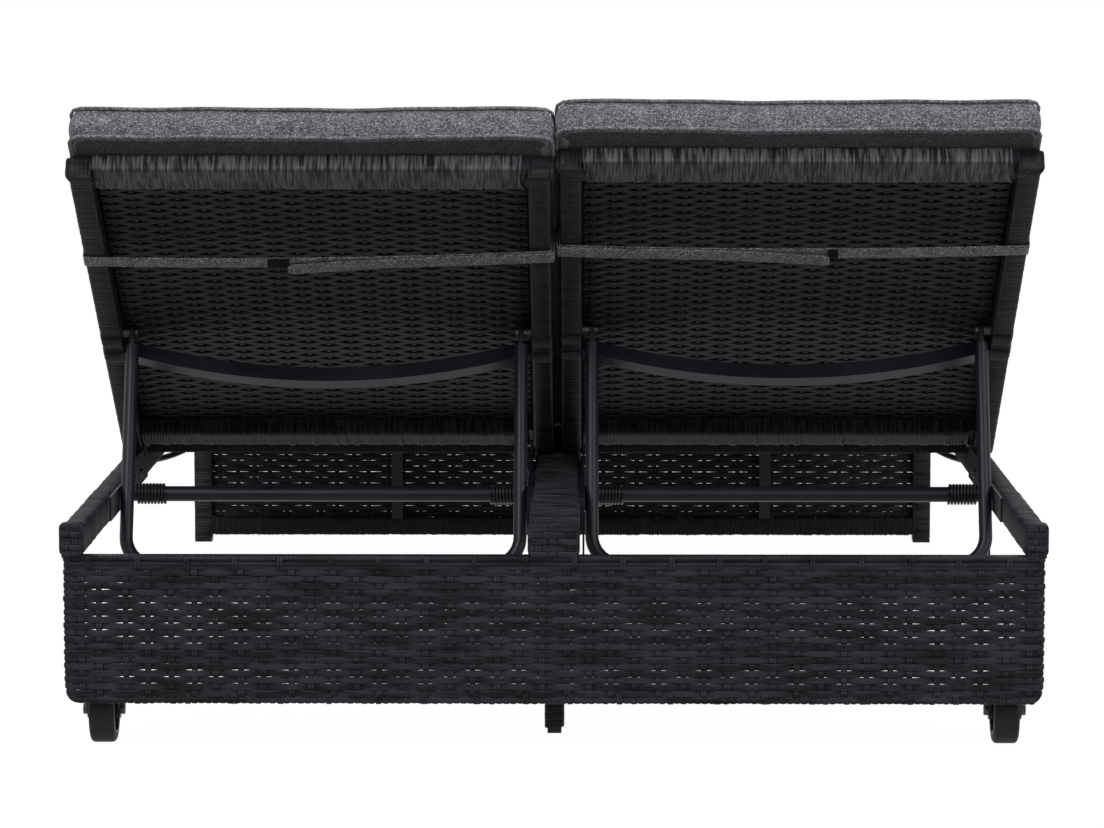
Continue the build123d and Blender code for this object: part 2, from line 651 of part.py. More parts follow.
def make_seat_frame(side):
    """Tube frame of one seat, lying on the side rail and the spine."""
    centre = side * SEAT_CENTRE_X
    outer = BACK_HALF_WIDTH
    inner = outer - SEAT_RAIL_WIDTH
    y0 = SEAT_START_Y
    y1 = SEAT_END_Y
    pieces = [tube_along_y(centre - outer, centre - inner, y0, y1, RAIL_TOP, SEAT_TOP),
              tube_along_y(centre + inner, centre + outer, y0, y1, RAIL_TOP, SEAT_TOP),
              tube_along_x(centre - inner, centre + inner, y0, y0 + SEAT_RAIL_WIDTH, RAIL_TOP,
                           SEAT_TOP),
              tube_along_x(centre - inner, centre + inner, y1 - SEAT_RAIL_WIDTH, y1, RAIL_TOP,
                           SEAT_TOP)]
    slat_top = SEAT_TOP - WEAVE_THICKNESS
    pitch = (y1 - y0) / (SEAT_SLAT_COUNT + 1)
    for k in range(SEAT_SLAT_COUNT):
        y = y0 + pitch * (k + 1)
        pieces.append(tube_along_x(centre - inner, centre + inner, y - SEAT_SLAT_WIDTH / 2,
                                   y + SEAT_SLAT_WIDTH / 2, slat_top - SEAT_SLAT_DEPTH, slat_top))
    return pieces


def make_seat_weave(side):
    """Woven sheet inside one seat frame, level with its top."""
    centre = side * SEAT_CENTRE_X
    inner = BACK_HALF_WIDTH - SEAT_RAIL_WIDTH
    return block(centre - inner, centre + inner, SEAT_START_Y + SEAT_RAIL_WIDTH,
                 SEAT_END_Y - SEAT_RAIL_WIDTH, SEAT_TOP - WEAVE_THICKNESS, SEAT_TOP)


# Wheels

def wheel_centre(x):
    """Point on a wheel's axle."""
    return (x, HEAD_Y + WHEEL_FROM_HEAD, WHEEL_RADIUS)


def make_hub(side):
    """Dished plastic hub with an axle boss."""
    half = TYRE_WIDTH / 2
    rim = WHEEL_RADIUS - TYRE_DEPTH
    boss = half + HUB_OVERWIDTH
    a = side * WHEEL_X - half
    b = side * WHEEL_X + half
    body = rod(rim, wheel_centre(a), wheel_centre(b))
    dish_radius = rim - HUB_RIM_WALL
    dish = rod(dish_radius, wheel_centre(a - OVERRUN), wheel_centre(a + HUB_DISH))
    dish += rod(dish_radius, wheel_centre(b - HUB_DISH), wheel_centre(b + OVERRUN))
    body -= dish
    body += rod(HUB_BOSS_RADIUS, wheel_centre(side * WHEEL_X - boss),
                wheel_centre(side * WHEEL_X + boss))
    return body - rod(AXLE_RADIUS + RUNNING_FIT, wheel_centre(a - OVERRUN), wheel_centre(b + OVERRUN))


def make_tyre(side):
    """Tread ring with rounded shoulders."""
    half = TYRE_WIDTH / 2
    a = side * WHEEL_X - half
    b = side * WHEEL_X + half
    ring = rod(WHEEL_RADIUS, wheel_centre(a), wheel_centre(b))
    ring = fillet(ring.edges().filter_by(GeomType.CIRCLE), TYRE_EDGE_ROUND)
    return ring - rod(WHEEL_RADIUS - TYRE_DEPTH, wheel_centre(a - OVERRUN), wheel_centre(b + OVERRUN))


def fork_limits():
    """X of the inner and outer cheeks' wheel-side faces on the right fork."""
    clear = TYRE_WIDTH / 2 + HUB_OVERWIDTH + FACE_GAP
    return WHEEL_X - clear, WHEEL_X + clear


def make_fork(side):
    """Bent plate fork bolted behind a head post, open at the bottom for the wheel."""
    low, high = fork_limits()
    y0 = HEAD_FRAME_REAR_Y
    crown = 2 * WHEEL_RADIUS + FORK_CROWN_GAP
    axle_y = HEAD_Y + WHEEL_FROM_HEAD
    outline = [(y0, crown), (y0, FORK_TOP), (y0 + FORK_TOP_REACH, FORK_TOP),
               (axle_y + FORK_EAR_RADIUS, WHEEL_RADIUS), (axle_y - FORK_EAR_RADIUS, WHEEL_RADIUS)]
    post_outer = head_post_span()[1]
    inner_x = (side * (low - FORK_PLATE), side * low)
    outer_x = (side * high, side * (high + FORK_PLATE))
    fork = block(side * (low - FORK_PLATE), side * post_outer, y0, y0 + FORK_PLATE, crown, FORK_TOP)
    fork += block(side * low, side * high, y0, axle_y, crown, crown + FORK_PLATE)
    for a, b in (inner_x, outer_x):
        fork += plate_on_side(outline, min(a, b), max(a, b))
        fork += rod(FORK_EAR_RADIUS, wheel_centre(a), wheel_centre(b))
    axle = (wheel_centre(side * (low - OVERRUN)), wheel_centre(side * (high + OVERRUN)))
    return fork - rod(AXLE_RADIUS, *axle)


def make_axles():
    """Axle bolt with its head inboard and its nut outboard, for both wheels."""
    low, high = fork_limits()
    axles = []
    for name, side in SIDES:
        a = side * (low - FORK_PLATE)
        b = side * (high + FORK_PLATE)
        axle = rod(AXLE_RADIUS, wheel_centre(a), wheel_centre(b))
        axle += rod(AXLE_HEAD_RADIUS, wheel_centre(a - side * AXLE_HEAD_LENGTH), wheel_centre(a))
        axle += rod(AXLE_HEAD_RADIUS, wheel_centre(b), wheel_centre(b + side * AXLE_HEAD_LENGTH))
        axles.append(axle)
    return axles


# Backrests, built flat in their own frame and then tilted

def back_pin(radius, x0, x1, u):
    """Round pin across the backrest at a distance up from the hinge."""
    return rod(radius, (x0, -u, 0), (x1, -u, 0))


def back_bolts():
    """Hinge bolts and stand pivot bolts of one backrest."""
    bolts = []
    for way in (-1, 1):
        head = LUG_INNER - FACE_GAP
        bolt = back_pin(HINGE_BOLT_RADIUS, way * head, way * (BACK_HALF_WIDTH - WRAP_THICKNESS), 0)
        bolt += back_pin(HINGE_HEAD_RADIUS, way * (head - HINGE_HEAD_LENGTH), way * head, 0)
        bolts.append(bolt)
        tab_out = STAND_HALF_WIDTH + STAND_TAB_THICKNESS / 2
        tab_in = STAND_HALF_WIDTH - STAND_TAB_THICKNESS / 2 - FACE_GAP
        bolt = back_pin(PIVOT_BOLT_RADIUS, way * tab_in, way * (BACK_HALF_WIDTH - WRAP_THICKNESS),
                        STAND_PIVOT_U)
        bolt += back_pin(PIVOT_HEAD_RADIUS, way * (tab_in - PIVOT_HEAD_LENGTH), way * tab_in,
                         STAND_PIVOT_U)
        bolt += back_pin(SPACER_RADIUS, way * (tab_out + FACE_GAP), way * BACK_RAIL_INNER,
                         STAND_PIVOT_U)
        bolts.append(bolt)
    return bolts


def back_side_solid(way, inset):
    """Side rail of a backrest as a full bar, rounded about the hinge at its lower end."""
    x0 = way * (BACK_RAIL_INNER + inset)
    x1 = way * (BACK_HALF_WIDTH - inset)
    bar = back_block(x0, x1, 0, BACK_LENGTH, inset, BACK_DEPTH - inset)
    return bar + back_pin(BACK_MIDDLE - inset, x0, x1, 0)


def back_cross_rails():
    """Top and bottom rails of a backrest, as full bars from tube to tube."""
    reach = BACK_RAIL_INNER + WRAP_THICKNESS
    top_rear = BACK_DEPTH - BACK_TOP_RAIL_DEPTH
    top = (-reach, reach, BACK_LENGTH - BACK_TOP_RAIL_HEIGHT, BACK_LENGTH, top_rear, BACK_DEPTH)
    low_end = BACK_BOTTOM_RAIL_START + BACK_BOTTOM_RAIL_HEIGHT
    low_rear = BACK_DEPTH - BACK_BOTTOM_RAIL_DEPTH
    bottom = (-reach, reach, BACK_BOTTOM_RAIL_START, low_end, low_rear, BACK_DEPTH)
    return top, bottom


def make_back_frame(bolts):
    """Two side tubes and two cross tubes of a backrest."""
    pieces = []
    for way in (-1, 1):
        tube = back_side_solid(way, WRAP_THICKNESS) - back_side_solid(way, WRAP_THICKNESS + TUBE_WALL)
        pieces.append(cut_all(tube, bolts))
    t = TUBE_WALL
    for x0, x1, u0, u1, n0, n1 in back_cross_rails():
        hollow = back_block(x0 - t, x1 + t, u0 + t, u1 - t, n0 + t, n1 - t)
        pieces.append(back_block(x0, x1, u0, u1, n0, n1) - hollow)
    return pieces


def make_back_wraps(bolts):
    """Strand wraps round the two side tubes, open where the cross tubes pass."""
    wraps = []
    for way in (-1, 1):
        wrap = back_side_solid(way, 0) - back_side_solid(way, WRAP_THICKNESS)
        for rail in back_cross_rails():
            wrap -= back_block(*rail)
        wraps.append(cut_all(wrap, bolts))
    return wraps


def make_back_weave():
    """Woven sheet between the four rails of a backrest."""
    front = BACK_DEPTH - BACK_WEAVE_SETBACK
    low_end = BACK_BOTTOM_RAIL_START + BACK_BOTTOM_RAIL_HEIGHT
    return back_block(-BACK_RAIL_INNER, BACK_RAIL_INNER, low_end, BACK_LENGTH - BACK_TOP_RAIL_HEIGHT,
                      front - WEAVE_THICKNESS, front)


def sagging_face(half_width, n_ends, sag, n_top):
    """Region between a level line and an arc that sags to the rear, in the XZ plane."""
    top = n_top - BACK_MIDDLE
    ends = n_ends - BACK_MIDDLE
    outline = [Line((-half_width, 0, top), (half_width, 0, top)),
               Line((half_width, 0, top), (half_width, 0, ends)),
               ThreePointArc((half_width, 0, ends), (0, 0, ends - sag), (-half_width, 0, ends)),
               Line((-half_width, 0, ends), (-half_width, 0, top))]
    return make_face(outline)


def arc_layer(half_width, n0, n1, sag, u0, u1):
    """Curved bar between two parallel sagging arcs, from u0 to u1 up the backrest."""
    top = n1 + BACK_DEPTH
    outer = extrude(sagging_face(half_width, n0, sag, top), u1 - u0, dir=(0, -1, 0))
    inner = extrude(sagging_face(half_width, n1, sag, top), u1 - u0, dir=(0, -1, 0))
    return Pos(0, -u0, 0) * (outer - inner)


def make_arc_brace():
    """Square tube bowed to the rear between the side rails."""
    w = ARC_BRACE_WIDTH
    t = TUBE_WALL
    u0 = ARC_BRACE_START
    outer = arc_layer(BACK_RAIL_INNER, 0, w, ARC_BRACE_SAG, u0, u0 + w)
    inner = arc_layer(BACK_RAIL_INNER, t, w - t, ARC_BRACE_SAG, u0 + t, u0 + w - t)
    return outer - inner


def strap_span(side):
    """Lower and upper edge of a strap, measured up the backrest."""
    rise = STRAP_RISE_LEFT if side < 0 else STRAP_RISE_RIGHT
    return rise - STRAP_WIDTH / 2, rise + STRAP_WIDTH / 2


def make_strap(side):
    """Webbing loop round a backrest: level in front, sagging behind."""
    u0, u1 = strap_span(side)
    t = STRAP_THICKNESS
    outer = sagging_face(BACK_HALF_WIDTH + t, -t, STRAP_SAG, BACK_DEPTH + t)
    inner = sagging_face(BACK_HALF_WIDTH, 0, STRAP_SAG, BACK_DEPTH)
    loop = extrude(outer, u1 - u0, dir=(0, -1, 0)) - extrude(inner, u1 - u0, dir=(0, -1, 0))
    return Pos(0, -u0, 0) * loop


def make_patch(side):
    """Hook-and-loop piece lying on the rear of the strap."""
    length = PATCH_LENGTH_LEFT if side < 0 else PATCH_LENGTH_RIGHT
    centre = side * PATCH_OFFSET_X
    t = STRAP_THICKNESS
    u0, u1 = strap_span(side)
    layer = arc_layer(BACK_HALF_WIDTH + t, -2 * t, -t, STRAP_SAG, u0, u1)
    window = back_block(centre - length / 2, centre + length / 2, u0 - t, u1 + t, -OVERRUN, 0)
    return layer & window


# Stand

def stand_bar(back_angle):
    """Y from the head and Z of the stand's bar for one backrest angle."""
    tilt = radians(back_angle)
    turn = radians(STAND_FLAT_ANGLE + (STAND_RATIO - 1) * back_angle)
    y = HINGE_FROM_HEAD - STAND_PIVOT_U * cos(tilt) - STAND_LENGTH * cos(turn)
    z = HINGE_HEIGHT + STAND_PIVOT_U * sin(tilt) - STAND_LENGTH * sin(turn)
    return y, z


def make_stand(side):
    """U-shaped tube with flattened, drilled ends, hung from the backrest's side rails."""
    angle = BACK_ANGLE_LEFT if side < 0 else BACK_ANGLE_RIGHT
    half = STAND_HALF_WIDTH
    start = -STAND_TAB_LENGTH / 2
    end = -STAND_LENGTH
    path = FilletPolyline((-half, start, 0), (-half, end, 0), (half, end, 0), (half, start, 0),
                          radius=STAND_BEND_RADIUS)
    plane = Plane(origin=(-half, start, 0), z_dir=(0, -1, 0))
    tube = sweep(plane * Circle(STAND_TUBE_RADIUS), path=path)
    tube -= sweep(plane * Circle(STAND_TUBE_RADIUS - TUBE_WALL), path=path)
    t = STAND_TAB_THICKNESS / 2
    for way in (-1, 1):
        x0 = way * half - t
        x1 = way * half + t
        tab = rod(STAND_TAB_RADIUS, (x0, 0, 0), (x1, 0, 0))
        tab += block(x0, x1, -STAND_TAB_LENGTH, 0, -STAND_TAB_RADIUS, STAND_TAB_RADIUS)
        tab -= rod(PIVOT_BOLT_RADIUS + RUNNING_FIT, (x0 - t, 0, 0), (x1 + t, 0, 0))
        tube += tab
    tilt = radians(angle)
    pivot_y = HINGE_Y - STAND_PIVOT_U * cos(tilt)
    pivot_z = HINGE_HEIGHT + STAND_PIVOT_U * sin(tilt)
    turn = STAND_FLAT_ANGLE + (STAND_RATIO - 1) * angle
    return Pos(side * SEAT_CENTRE_X, pivot_y, pivot_z) * Rot(turn, 0, 0) * tube


# Cushions

def cushion_section(y, z0, z1, half_width, draw, lean):
    """Closed section across a cushion: crowned faces and gently bulging sides."""
    half = half_width - draw
    low = z0 + draw / 2
    high = z1 - draw / 2
    crown = max(CUSHION_CROWN - draw / 2, CUSHION_LEAST_CROWN)
    middle = (low + high) / 2
    bulge = half + CUSHION_SIDE_BULGE

    def at(x, z):
        return (x, y + lean * (z - z0), z)

    outline = [Line(at(-half, low), at(half, low)),
               ThreePointArc(at(half, low), at(bulge, middle), at(half, high)),
               ThreePointArc(at(half, high), at(0, high + crown), at(-half, high)),
               ThreePointArc(at(-half, high), at(-bulge, middle), at(-half, low))]
    return make_face(outline)


def make_cushion(y0, y1, z0, z1, lean0, lean1):
    """Box cushion lofted along Y; its ends are drawn in and may lean."""
    half = CUSHION_HALF_WIDTH - CUSHION_SIDE_BULGE
    zone = CUSHION_END_ZONE
    span = y1 - y0
    sections = [cushion_section(y0, z0, z1, half, CUSHION_END_DRAW, lean0)]
    for share in CUSHION_STATIONS:
        y = y0 + zone + (span - 2 * zone) * share
        lean = lean0 if share == 0 else lean1 if share == 1 else 0
        draw = CUSHION_END_DRAW * CUSHION_WAIST_SHARE * (2 * share - 1) ** 2
        sections.append(cushion_section(y, z0, z1, half, draw, lean))
    sections.append(cushion_section(y1, z0, z1, half, CUSHION_END_DRAW, lean1))
    return loft(sections, ruled=True)


def meeting_lean():
    """How far each cushion's end leans back per unit of height, to clear at full tilt."""
    half_angle = radians(BACK_ANGLE_MAX / 2)
    return sin(half_angle) / cos(half_angle)


def make_back_cushion():
    """Back cushion in the backrest's frame, overhanging its top rail."""
    z0 = BACK_DEPTH - BACK_MIDDLE + STRAP_THICKNESS + SOFT_GAP
    z1 = z0 + CUSHION_THICKNESS - CUSHION_CROWN
    lean = meeting_lean()
    end = -(z0 * lean + CUSHION_MEETING_GAP)
    return make_cushion(-BACK_LENGTH - CUSHION_OVERHANG, end, z0, z1, 0, -lean)


def make_seat_cushion(side):
    """Seat cushion on its frame; its rear end leans away from the back cushion."""
    z0 = SEAT_TOP + SOFT_GAP
    z1 = z0 + CUSHION_THICKNESS - CUSHION_CROWN
    lean = meeting_lean()
    start = HINGE_Y + (z0 - HINGE_HEIGHT) * lean + CUSHION_MEETING_GAP
    cushion = make_cushion(start, FOOT_Y - CUSHION_FOOT_GAP, z0, z1, lean, 0)
    return Pos(side * SEAT_CENTRE_X, 0, 0) * cushion


def save_base():
    """Write everything that stays still."""
    bolts = make_plate_bolts()
    save("plate_bolts", bolts)
    save("spine_rail", make_spine(bolts))
    save("rail_wraps", make_rail_wraps(bolts))
    save("head_end_wraps", make_head_end_wraps())
    save("head_frame", make_head_frame())
    save("head_weave", make_head_weave())
    save("leg_tubes", make_leg_tubes())
    save("leg_wraps", make_leg_wraps())
    save("foot_caps", make_foot_caps())
    save("foot_frame", make_foot_frame())
    save("foot_weave", make_foot_weave())
    save("rack_carriers", make_carriers())
    save("wheel_axles", make_axles())
    for name, side in SIDES:
        save("side_rail_" + name, make_side_rail(side, bolts))
        save("side_brace_" + name, make_side_brace(side))
        save("rail_bracket_" + name, make_bracket(side, 1, bolts))
        save("spine_bracket_" + name, make_bracket(side, -1, bolts))
        save("cross_tube_" + name, make_cross_tube(side))
        save("rack_" + name, make_racks(side))
        save("seat_frame_" + name, make_seat_frame(side))
        save("seat_weave_" + name, make_seat_weave(side))
        save("seat_cushion_" + name, make_seat_cushion(side))
        save("wheel_fork_" + name, make_fork(side))


def save_windings():
    """Write the four windings and print their least gap to themselves."""
    for name, side in SIDES:
        outer_x = side * (SEAT_CENTRE_X + LUG_INNER)
        inner_x = side * (SEAT_CENTRE_X - LUG_INNER)
        outer, stations = make_winding(outer_x, -side, OUTER_TURNS)
        save("outer_winding_" + name, outer)
        print("outer winding", name, "least self gap", round(least_self_gap(stations), 3))
        inner, stations = make_winding(inner_x, side, INNER_TURNS)
        save("inner_winding_" + name, inner)
        print("inner winding", name, "least self gap", round(least_self_gap(stations), 3))


def save_moving():
    """Write the wheels, backrests and stands."""
    bolts = back_bolts()
    pieces = {"back_bolts_": bolts, "back_frame_": make_back_frame(bolts),
              "back_wraps_": make_back_wraps(bolts), "back_weave_": [make_back_weave()],
              "arc_brace_": [make_arc_brace()], "back_cushion_": [make_back_cushion()]}
    for name, side in SIDES:
        place = back_place(side)
        for prefix, shapes in pieces.items():
            save(prefix + name, [place * shape for shape in shapes])
        save("back_strap_" + name, place * make_strap(side))
        save("strap_patch_" + name, place * make_patch(side))
        save("stand_" + name, make_stand(side))
        save("wheel_hub_" + name, make_hub(side))
        save("wheel_tyre_" + name, make_tyre(side))


os.makedirs("parts", exist_ok=True)
save_base()
save_windings()
save_moving()
lowest_bar = min(stand_bar(BACK_ANGLE_MAX * k / 100)[1] for k in range(101))
print("lowest bar centre on its path", round(lowest_bar, 2))
print("bar at rest", [round(value, 1) for value in stand_bar(BACK_ANGLE_LEFT)])
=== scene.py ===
import json
from collections import namedtuple
from math import atan2, cos, pi, radians, sin

import bmesh
import bpy
import numpy as np
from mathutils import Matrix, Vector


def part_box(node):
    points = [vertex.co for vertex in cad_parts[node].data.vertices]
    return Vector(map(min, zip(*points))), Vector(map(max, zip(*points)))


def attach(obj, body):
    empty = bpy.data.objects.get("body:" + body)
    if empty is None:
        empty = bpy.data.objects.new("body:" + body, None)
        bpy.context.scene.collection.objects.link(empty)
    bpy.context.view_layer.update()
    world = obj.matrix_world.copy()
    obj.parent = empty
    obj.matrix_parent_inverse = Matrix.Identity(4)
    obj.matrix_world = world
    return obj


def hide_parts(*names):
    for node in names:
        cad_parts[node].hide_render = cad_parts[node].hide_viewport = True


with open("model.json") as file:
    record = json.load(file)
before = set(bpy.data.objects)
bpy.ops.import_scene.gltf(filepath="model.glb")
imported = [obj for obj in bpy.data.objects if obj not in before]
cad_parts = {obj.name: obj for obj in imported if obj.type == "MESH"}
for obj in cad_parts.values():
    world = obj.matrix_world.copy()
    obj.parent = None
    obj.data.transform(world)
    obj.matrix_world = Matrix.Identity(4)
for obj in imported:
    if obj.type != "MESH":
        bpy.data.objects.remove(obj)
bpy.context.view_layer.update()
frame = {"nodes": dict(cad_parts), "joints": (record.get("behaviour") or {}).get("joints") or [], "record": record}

scene = bpy.context.scene
scene.view_settings.view_transform = "Standard"
MM = 0.001
SIDES = (("left", -1), ("right", 1))


CAMERA_PLACE = (0.0429, -6.5757, 1.0788)
CAMERA_DOWN = 6.414
CAMERA_LEFT = 0.464
CAMERA_LENS = 138.87


def make_camera():
    """Camera fitted to the photograph's 1104 by 828 frame."""
    data = bpy.data.cameras.new("camera")
    data.sensor_width = 36.0
    data.lens = CAMERA_LENS
    camera = bpy.data.objects.new("camera", data)
    camera.location = CAMERA_PLACE
    camera.rotation_euler = (radians(90 - CAMERA_DOWN), 0, radians(CAMERA_LEFT))
    scene.collection.objects.link(camera)
    scene.camera = camera


# Materials

class Shader:
    """A small helper that builds one node material."""

    def __init__(self, name):
        self.material = bpy.data.materials.new(name)
        self.material.use_nodes = True
        self.nodes = self.material.node_tree.nodes
        self.links = self.material.node_tree.links
        self.main = self.nodes["Principled BSDF"]

    def add(self, kind, **values):
        """A new node of a kind with its settings."""
        node = self.nodes.new(kind)
        for key, value in values.items():
            setattr(node, key, value)
        return node

    def place(self, scale):
        """Object coordinates stretched by a scale along each axis."""
        where = self.add("ShaderNodeTexCoord")
        mapping = self.add("ShaderNodeMapping")
        mapping.inputs["Scale"].default_value = scale
        self.links.new(where.outputs["Object"], mapping.inputs["Vector"])
        return mapping.outputs["Vector"]

    def noise(self, scale, stretch=(1, 1, 1), detail=3.0):
        """Noise field, with more or less pull along each axis."""
        node = self.add("ShaderNodeTexNoise")
        node.inputs["Scale"].default_value = scale
        node.inputs["Detail"].default_value = detail
        self.links.new(self.place(stretch), node.inputs["Vector"])
        return node.outputs["Fac"]

    def ramp(self, source, stops):
        """Colour ramp through (place, colour) stops."""
        node = self.add("ShaderNodeValToRGB")
        elements = node.color_ramp.elements
        while len(elements) < len(stops):
            elements.new(0.5)
        for element, (where, colour) in zip(elements, stops):
            element.position = where
            element.color = (*colour, 1)
        self.links.new(source, node.inputs["Fac"])
        return node.outputs["Color"]

    def math(self, operation, a, b):
        """Arithmetic between two sockets or numbers."""
        node = self.add("ShaderNodeMath", operation=operation)
        for socket, value in zip(node.inputs, (a, b)):
            if isinstance(value, (int, float)):
                socket.default_value = value
            else:
                self.links.new(value, socket)
        return node.outputs["Value"]

    def bump(self, source, strength, distance):
        """Relief from a height field."""
        node = self.add("ShaderNodeBump")
        node.inputs["Strength"].default_value = strength
        node.inputs["Distance"].default_value = distance
        self.links.new(source, node.inputs["Height"])
        self.links.new(node.outputs["Normal"], self.main.inputs["Normal"])

    def colour(self, source):
        """Colour of the surface from a socket."""
        self.links.new(source, self.main.inputs["Base Color"])

    def roughness(self, source, low, high):
        """Roughness between two values, led by a field."""
        node = self.add("ShaderNodeMapRange")
        node.inputs["To Min"].default_value = low
        node.inputs["To Max"].default_value = high
        self.links.new(source, node.inputs["Value"])
        self.links.new(node.outputs["Result"], self.main.inputs["Roughness"])

    def fixed(self, **values):
        """Numbers that are the same all over, on the shader's own sockets."""
        for key, value in values.items():
            self.main.inputs[key.replace("_", " ")].default_value = value
        return self.material


def strand_material(name, dark, light, streak, gloss, every=110.0):
    """Extruded plastic strand: streaks along it, each strand with its own tone, satin sheen."""
    made = Shader(name)
    tone = made.noise(24.0, detail=2.0)
    each = made.noise(every, streak, detail=0.0)
    streaks = made.noise(700.0, streak, detail=3.0)
    mixed = made.math("ADD", made.math("MULTIPLY", each, 0.5), made.math("MULTIPLY", streaks, 0.3))
    mixed = made.math("ADD", mixed, made.math("MULTIPLY", tone, 0.2))
    made.colour(made.ramp(mixed, ((0.40, dark), (0.60, light))))
    made.roughness(streaks, *gloss)
    made.bump(streaks, 0.2, 0.0003)
    return made.fixed(Specular_IOR_Level=0.09)


def metal_material(name, dark, light, gloss, coat):
    """Powder-coated steel: fine orange peel and slight tone drift."""
    made = Shader(name)
    drift = made.noise(14.0, detail=2.0)
    peel = made.noise(900.0, detail=2.0)
    made.colour(made.ramp(drift, ((0.3, dark), (0.7, light))))
    made.roughness(drift, *gloss)
    made.bump(peel, 0.12, 0.0002)
    return made.fixed(Specular_IOR_Level=0.16, Coat_Weight=coat, Coat_Roughness=0.22)


def zinc_material():
    """Dull zinc plate of the bolts, nuts and axles."""
    made = Shader("zinc_plate")
    drift = made.noise(160.0)
    made.colour(made.ramp(drift, ((0.3, (0.03, 0.03, 0.032)), (0.7, (0.075, 0.075, 0.08)))))
    made.roughness(drift, 0.32, 0.5)
    made.bump(drift, 0.15, 0.0003)
    return made.fixed(Metallic=0.9)


def cloth_material(name, dark, middle, light, threads_per_metre):
    """Heathered cloth: threads of several greys crossing at right angles."""
    made = Shader(name)
    across = made.noise(threads_per_metre, (0.3, 1.0, 1.0), detail=1.5)
    along = made.noise(threads_per_metre, (1.0, 0.35, 0.4), detail=1.5)
    patch = made.noise(55.0, detail=2.0)
    threads = made.math("ADD", across, along)
    mixed = made.math("MULTIPLY_ADD", threads, 0.44)
    made.links.new(made.math("MULTIPLY", patch, 0.12), mixed.node.inputs[2])
    made.colour(made.ramp(mixed, ((0.39, dark), (0.50, middle), (0.61, light))))
    made.bump(threads, 0.5, 0.0006)
    return made.fixed(Roughness=0.9, Specular_IOR_Level=0.2, Sheen_Weight=0.15)


def rubber_material(name, dark, light, gloss):
    """Moulded rubber or plastic with a fine grain."""
    made = Shader(name)
    drift = made.noise(60.0)
    grain = made.noise(700.0, detail=4.0)
    made.colour(made.ramp(drift, ((0.35, dark), (0.65, light))))
    made.roughness(drift, *gloss)
    made.bump(grain, 0.25, 0.0004)
    return made.fixed(Specular_IOR_Level=0.2)


def hook_material():
    """Hook tape: dense rows of tiny hooks."""
    made = Shader("hook_tape")
    hooks = made.add("ShaderNodeTexVoronoi")
    hooks.inputs["Scale"].default_value = 900.0
    made.links.new(made.place((1, 1, 1)), hooks.inputs["Vector"])
    stops = ((0.1, (0.012, 0.012, 0.012)), (0.7, (0.004, 0.004, 0.004)))
    made.colour(made.ramp(hooks.outputs["Distance"], stops))
    made.bump(hooks.outputs["Distance"], 0.6, 0.0006)
    return made.fixed(Roughness=0.9, Specular_IOR_Level=0.08)


ALONG_X = (0.1, 1, 1)
ALONG_XZ = (0.1, 1, 0.1)
ALONG_XY = (0.1, 0.1, 1)
ALONG_YZ = (1, 0.1, 0.1)
SATIN = (0.36, 0.52)
GLOSSY = (0.3, 0.42)
STRAND = strand_material("strand", (0.007, 0.0073, 0.009), (0.025, 0.0256, 0.0305), ALONG_X, SATIN)
STRAND_BACK = strand_material("strand_back", (0.005, 0.0047, 0.0045), (0.017, 0.0162, 0.0155), ALONG_X, SATIN)
WOUND_RAIL = strand_material("strand_rail", (0.008, 0.0085, 0.0105), (0.040, 0.041, 0.047),
                             ALONG_XZ, SATIN, 210.0)
WOUND_LEG = strand_material("strand_leg", (0.006, 0.0065, 0.007), (0.030, 0.031, 0.034),
                            ALONG_XY, SATIN, 210.0)
WOUND_BACK = strand_material("strand_back_rail", (0.007, 0.0073, 0.008), (0.018, 0.0187, 0.020),
                             ALONG_X, SATIN, 210.0)
# Top rail strand: the same strand as the other wound rails, its colour lightened as a painted highlight of the lit
# ridge, with real tone varying from strand to strand
WOUND_TOP_PAINTED_HIGHLIGHT = strand_material("strand_top_rail_painted_highlight", (0.012, 0.0118, 0.0122), (0.098, 0.096, 0.099),
                            ALONG_YZ, GLOSSY, 320.0)
# Low rail strand: a darker copy of the top rail's strand, painted shade for the rails that lie in shadow (backrest
# low rail, foot bar, seat rear rail)
WOUND_LOW_PAINTED_SHADE = strand_material("strand_low_rail_painted_shade", (0.003, 0.0029, 0.0028), (0.020, 0.019, 0.0178),
                            ALONG_YZ, SATIN, 300.0)
BLACK_METAL = metal_material("black_metal", (0.006, 0.007, 0.0105), (0.011, 0.0125, 0.0175),
                             (0.34, 0.44), 0.06)
WIRE = metal_material("black_wire", (0.006, 0.0062, 0.008), (0.011, 0.0113, 0.014), (0.32, 0.42), 0.08)
ZINC = zinc_material()
CUSHION = cloth_material("cushion_cloth", (0.022, 0.023, 0.027), (0.080, 0.083, 0.091),
                         (0.245, 0.25, 0.268), 800.0)
# Darker cloth for the underside faces of the cushions, inside the lower seam
UNDERSIDE_DARK_CLOTH = cloth_material("cushion_underside_dark", (0.006, 0.006, 0.0075), (0.018, 0.018, 0.021),
                        (0.062, 0.062, 0.068), 700.0)
PIPING_CLOTH = cloth_material("piping_cloth", (0.028, 0.029, 0.033), (0.090, 0.093, 0.100),
                              (0.26, 0.265, 0.28), 800.0)
WEBBING = cloth_material("webbing_cloth", (0.018, 0.018, 0.0178), (0.09, 0.09, 0.088),
                         (0.36, 0.36, 0.355), 800.0)
HOOK = hook_material()
PLASTIC = rubber_material("black_plastic", (0.007, 0.007, 0.0075), (0.014, 0.014, 0.015), (0.4, 0.5))
TYRE = rubber_material("tyre_rubber", (0.007, 0.0062, 0.0052), (0.018, 0.0155, 0.013), (0.6, 0.75))
SLOT_LOOKS = {"black_metal": BLACK_METAL, "zinc": ZINC, "wire": WIRE, "strand": WOUND_RAIL,
              "black_plastic": PLASTIC, "tyre": TYRE}


# Mesh building

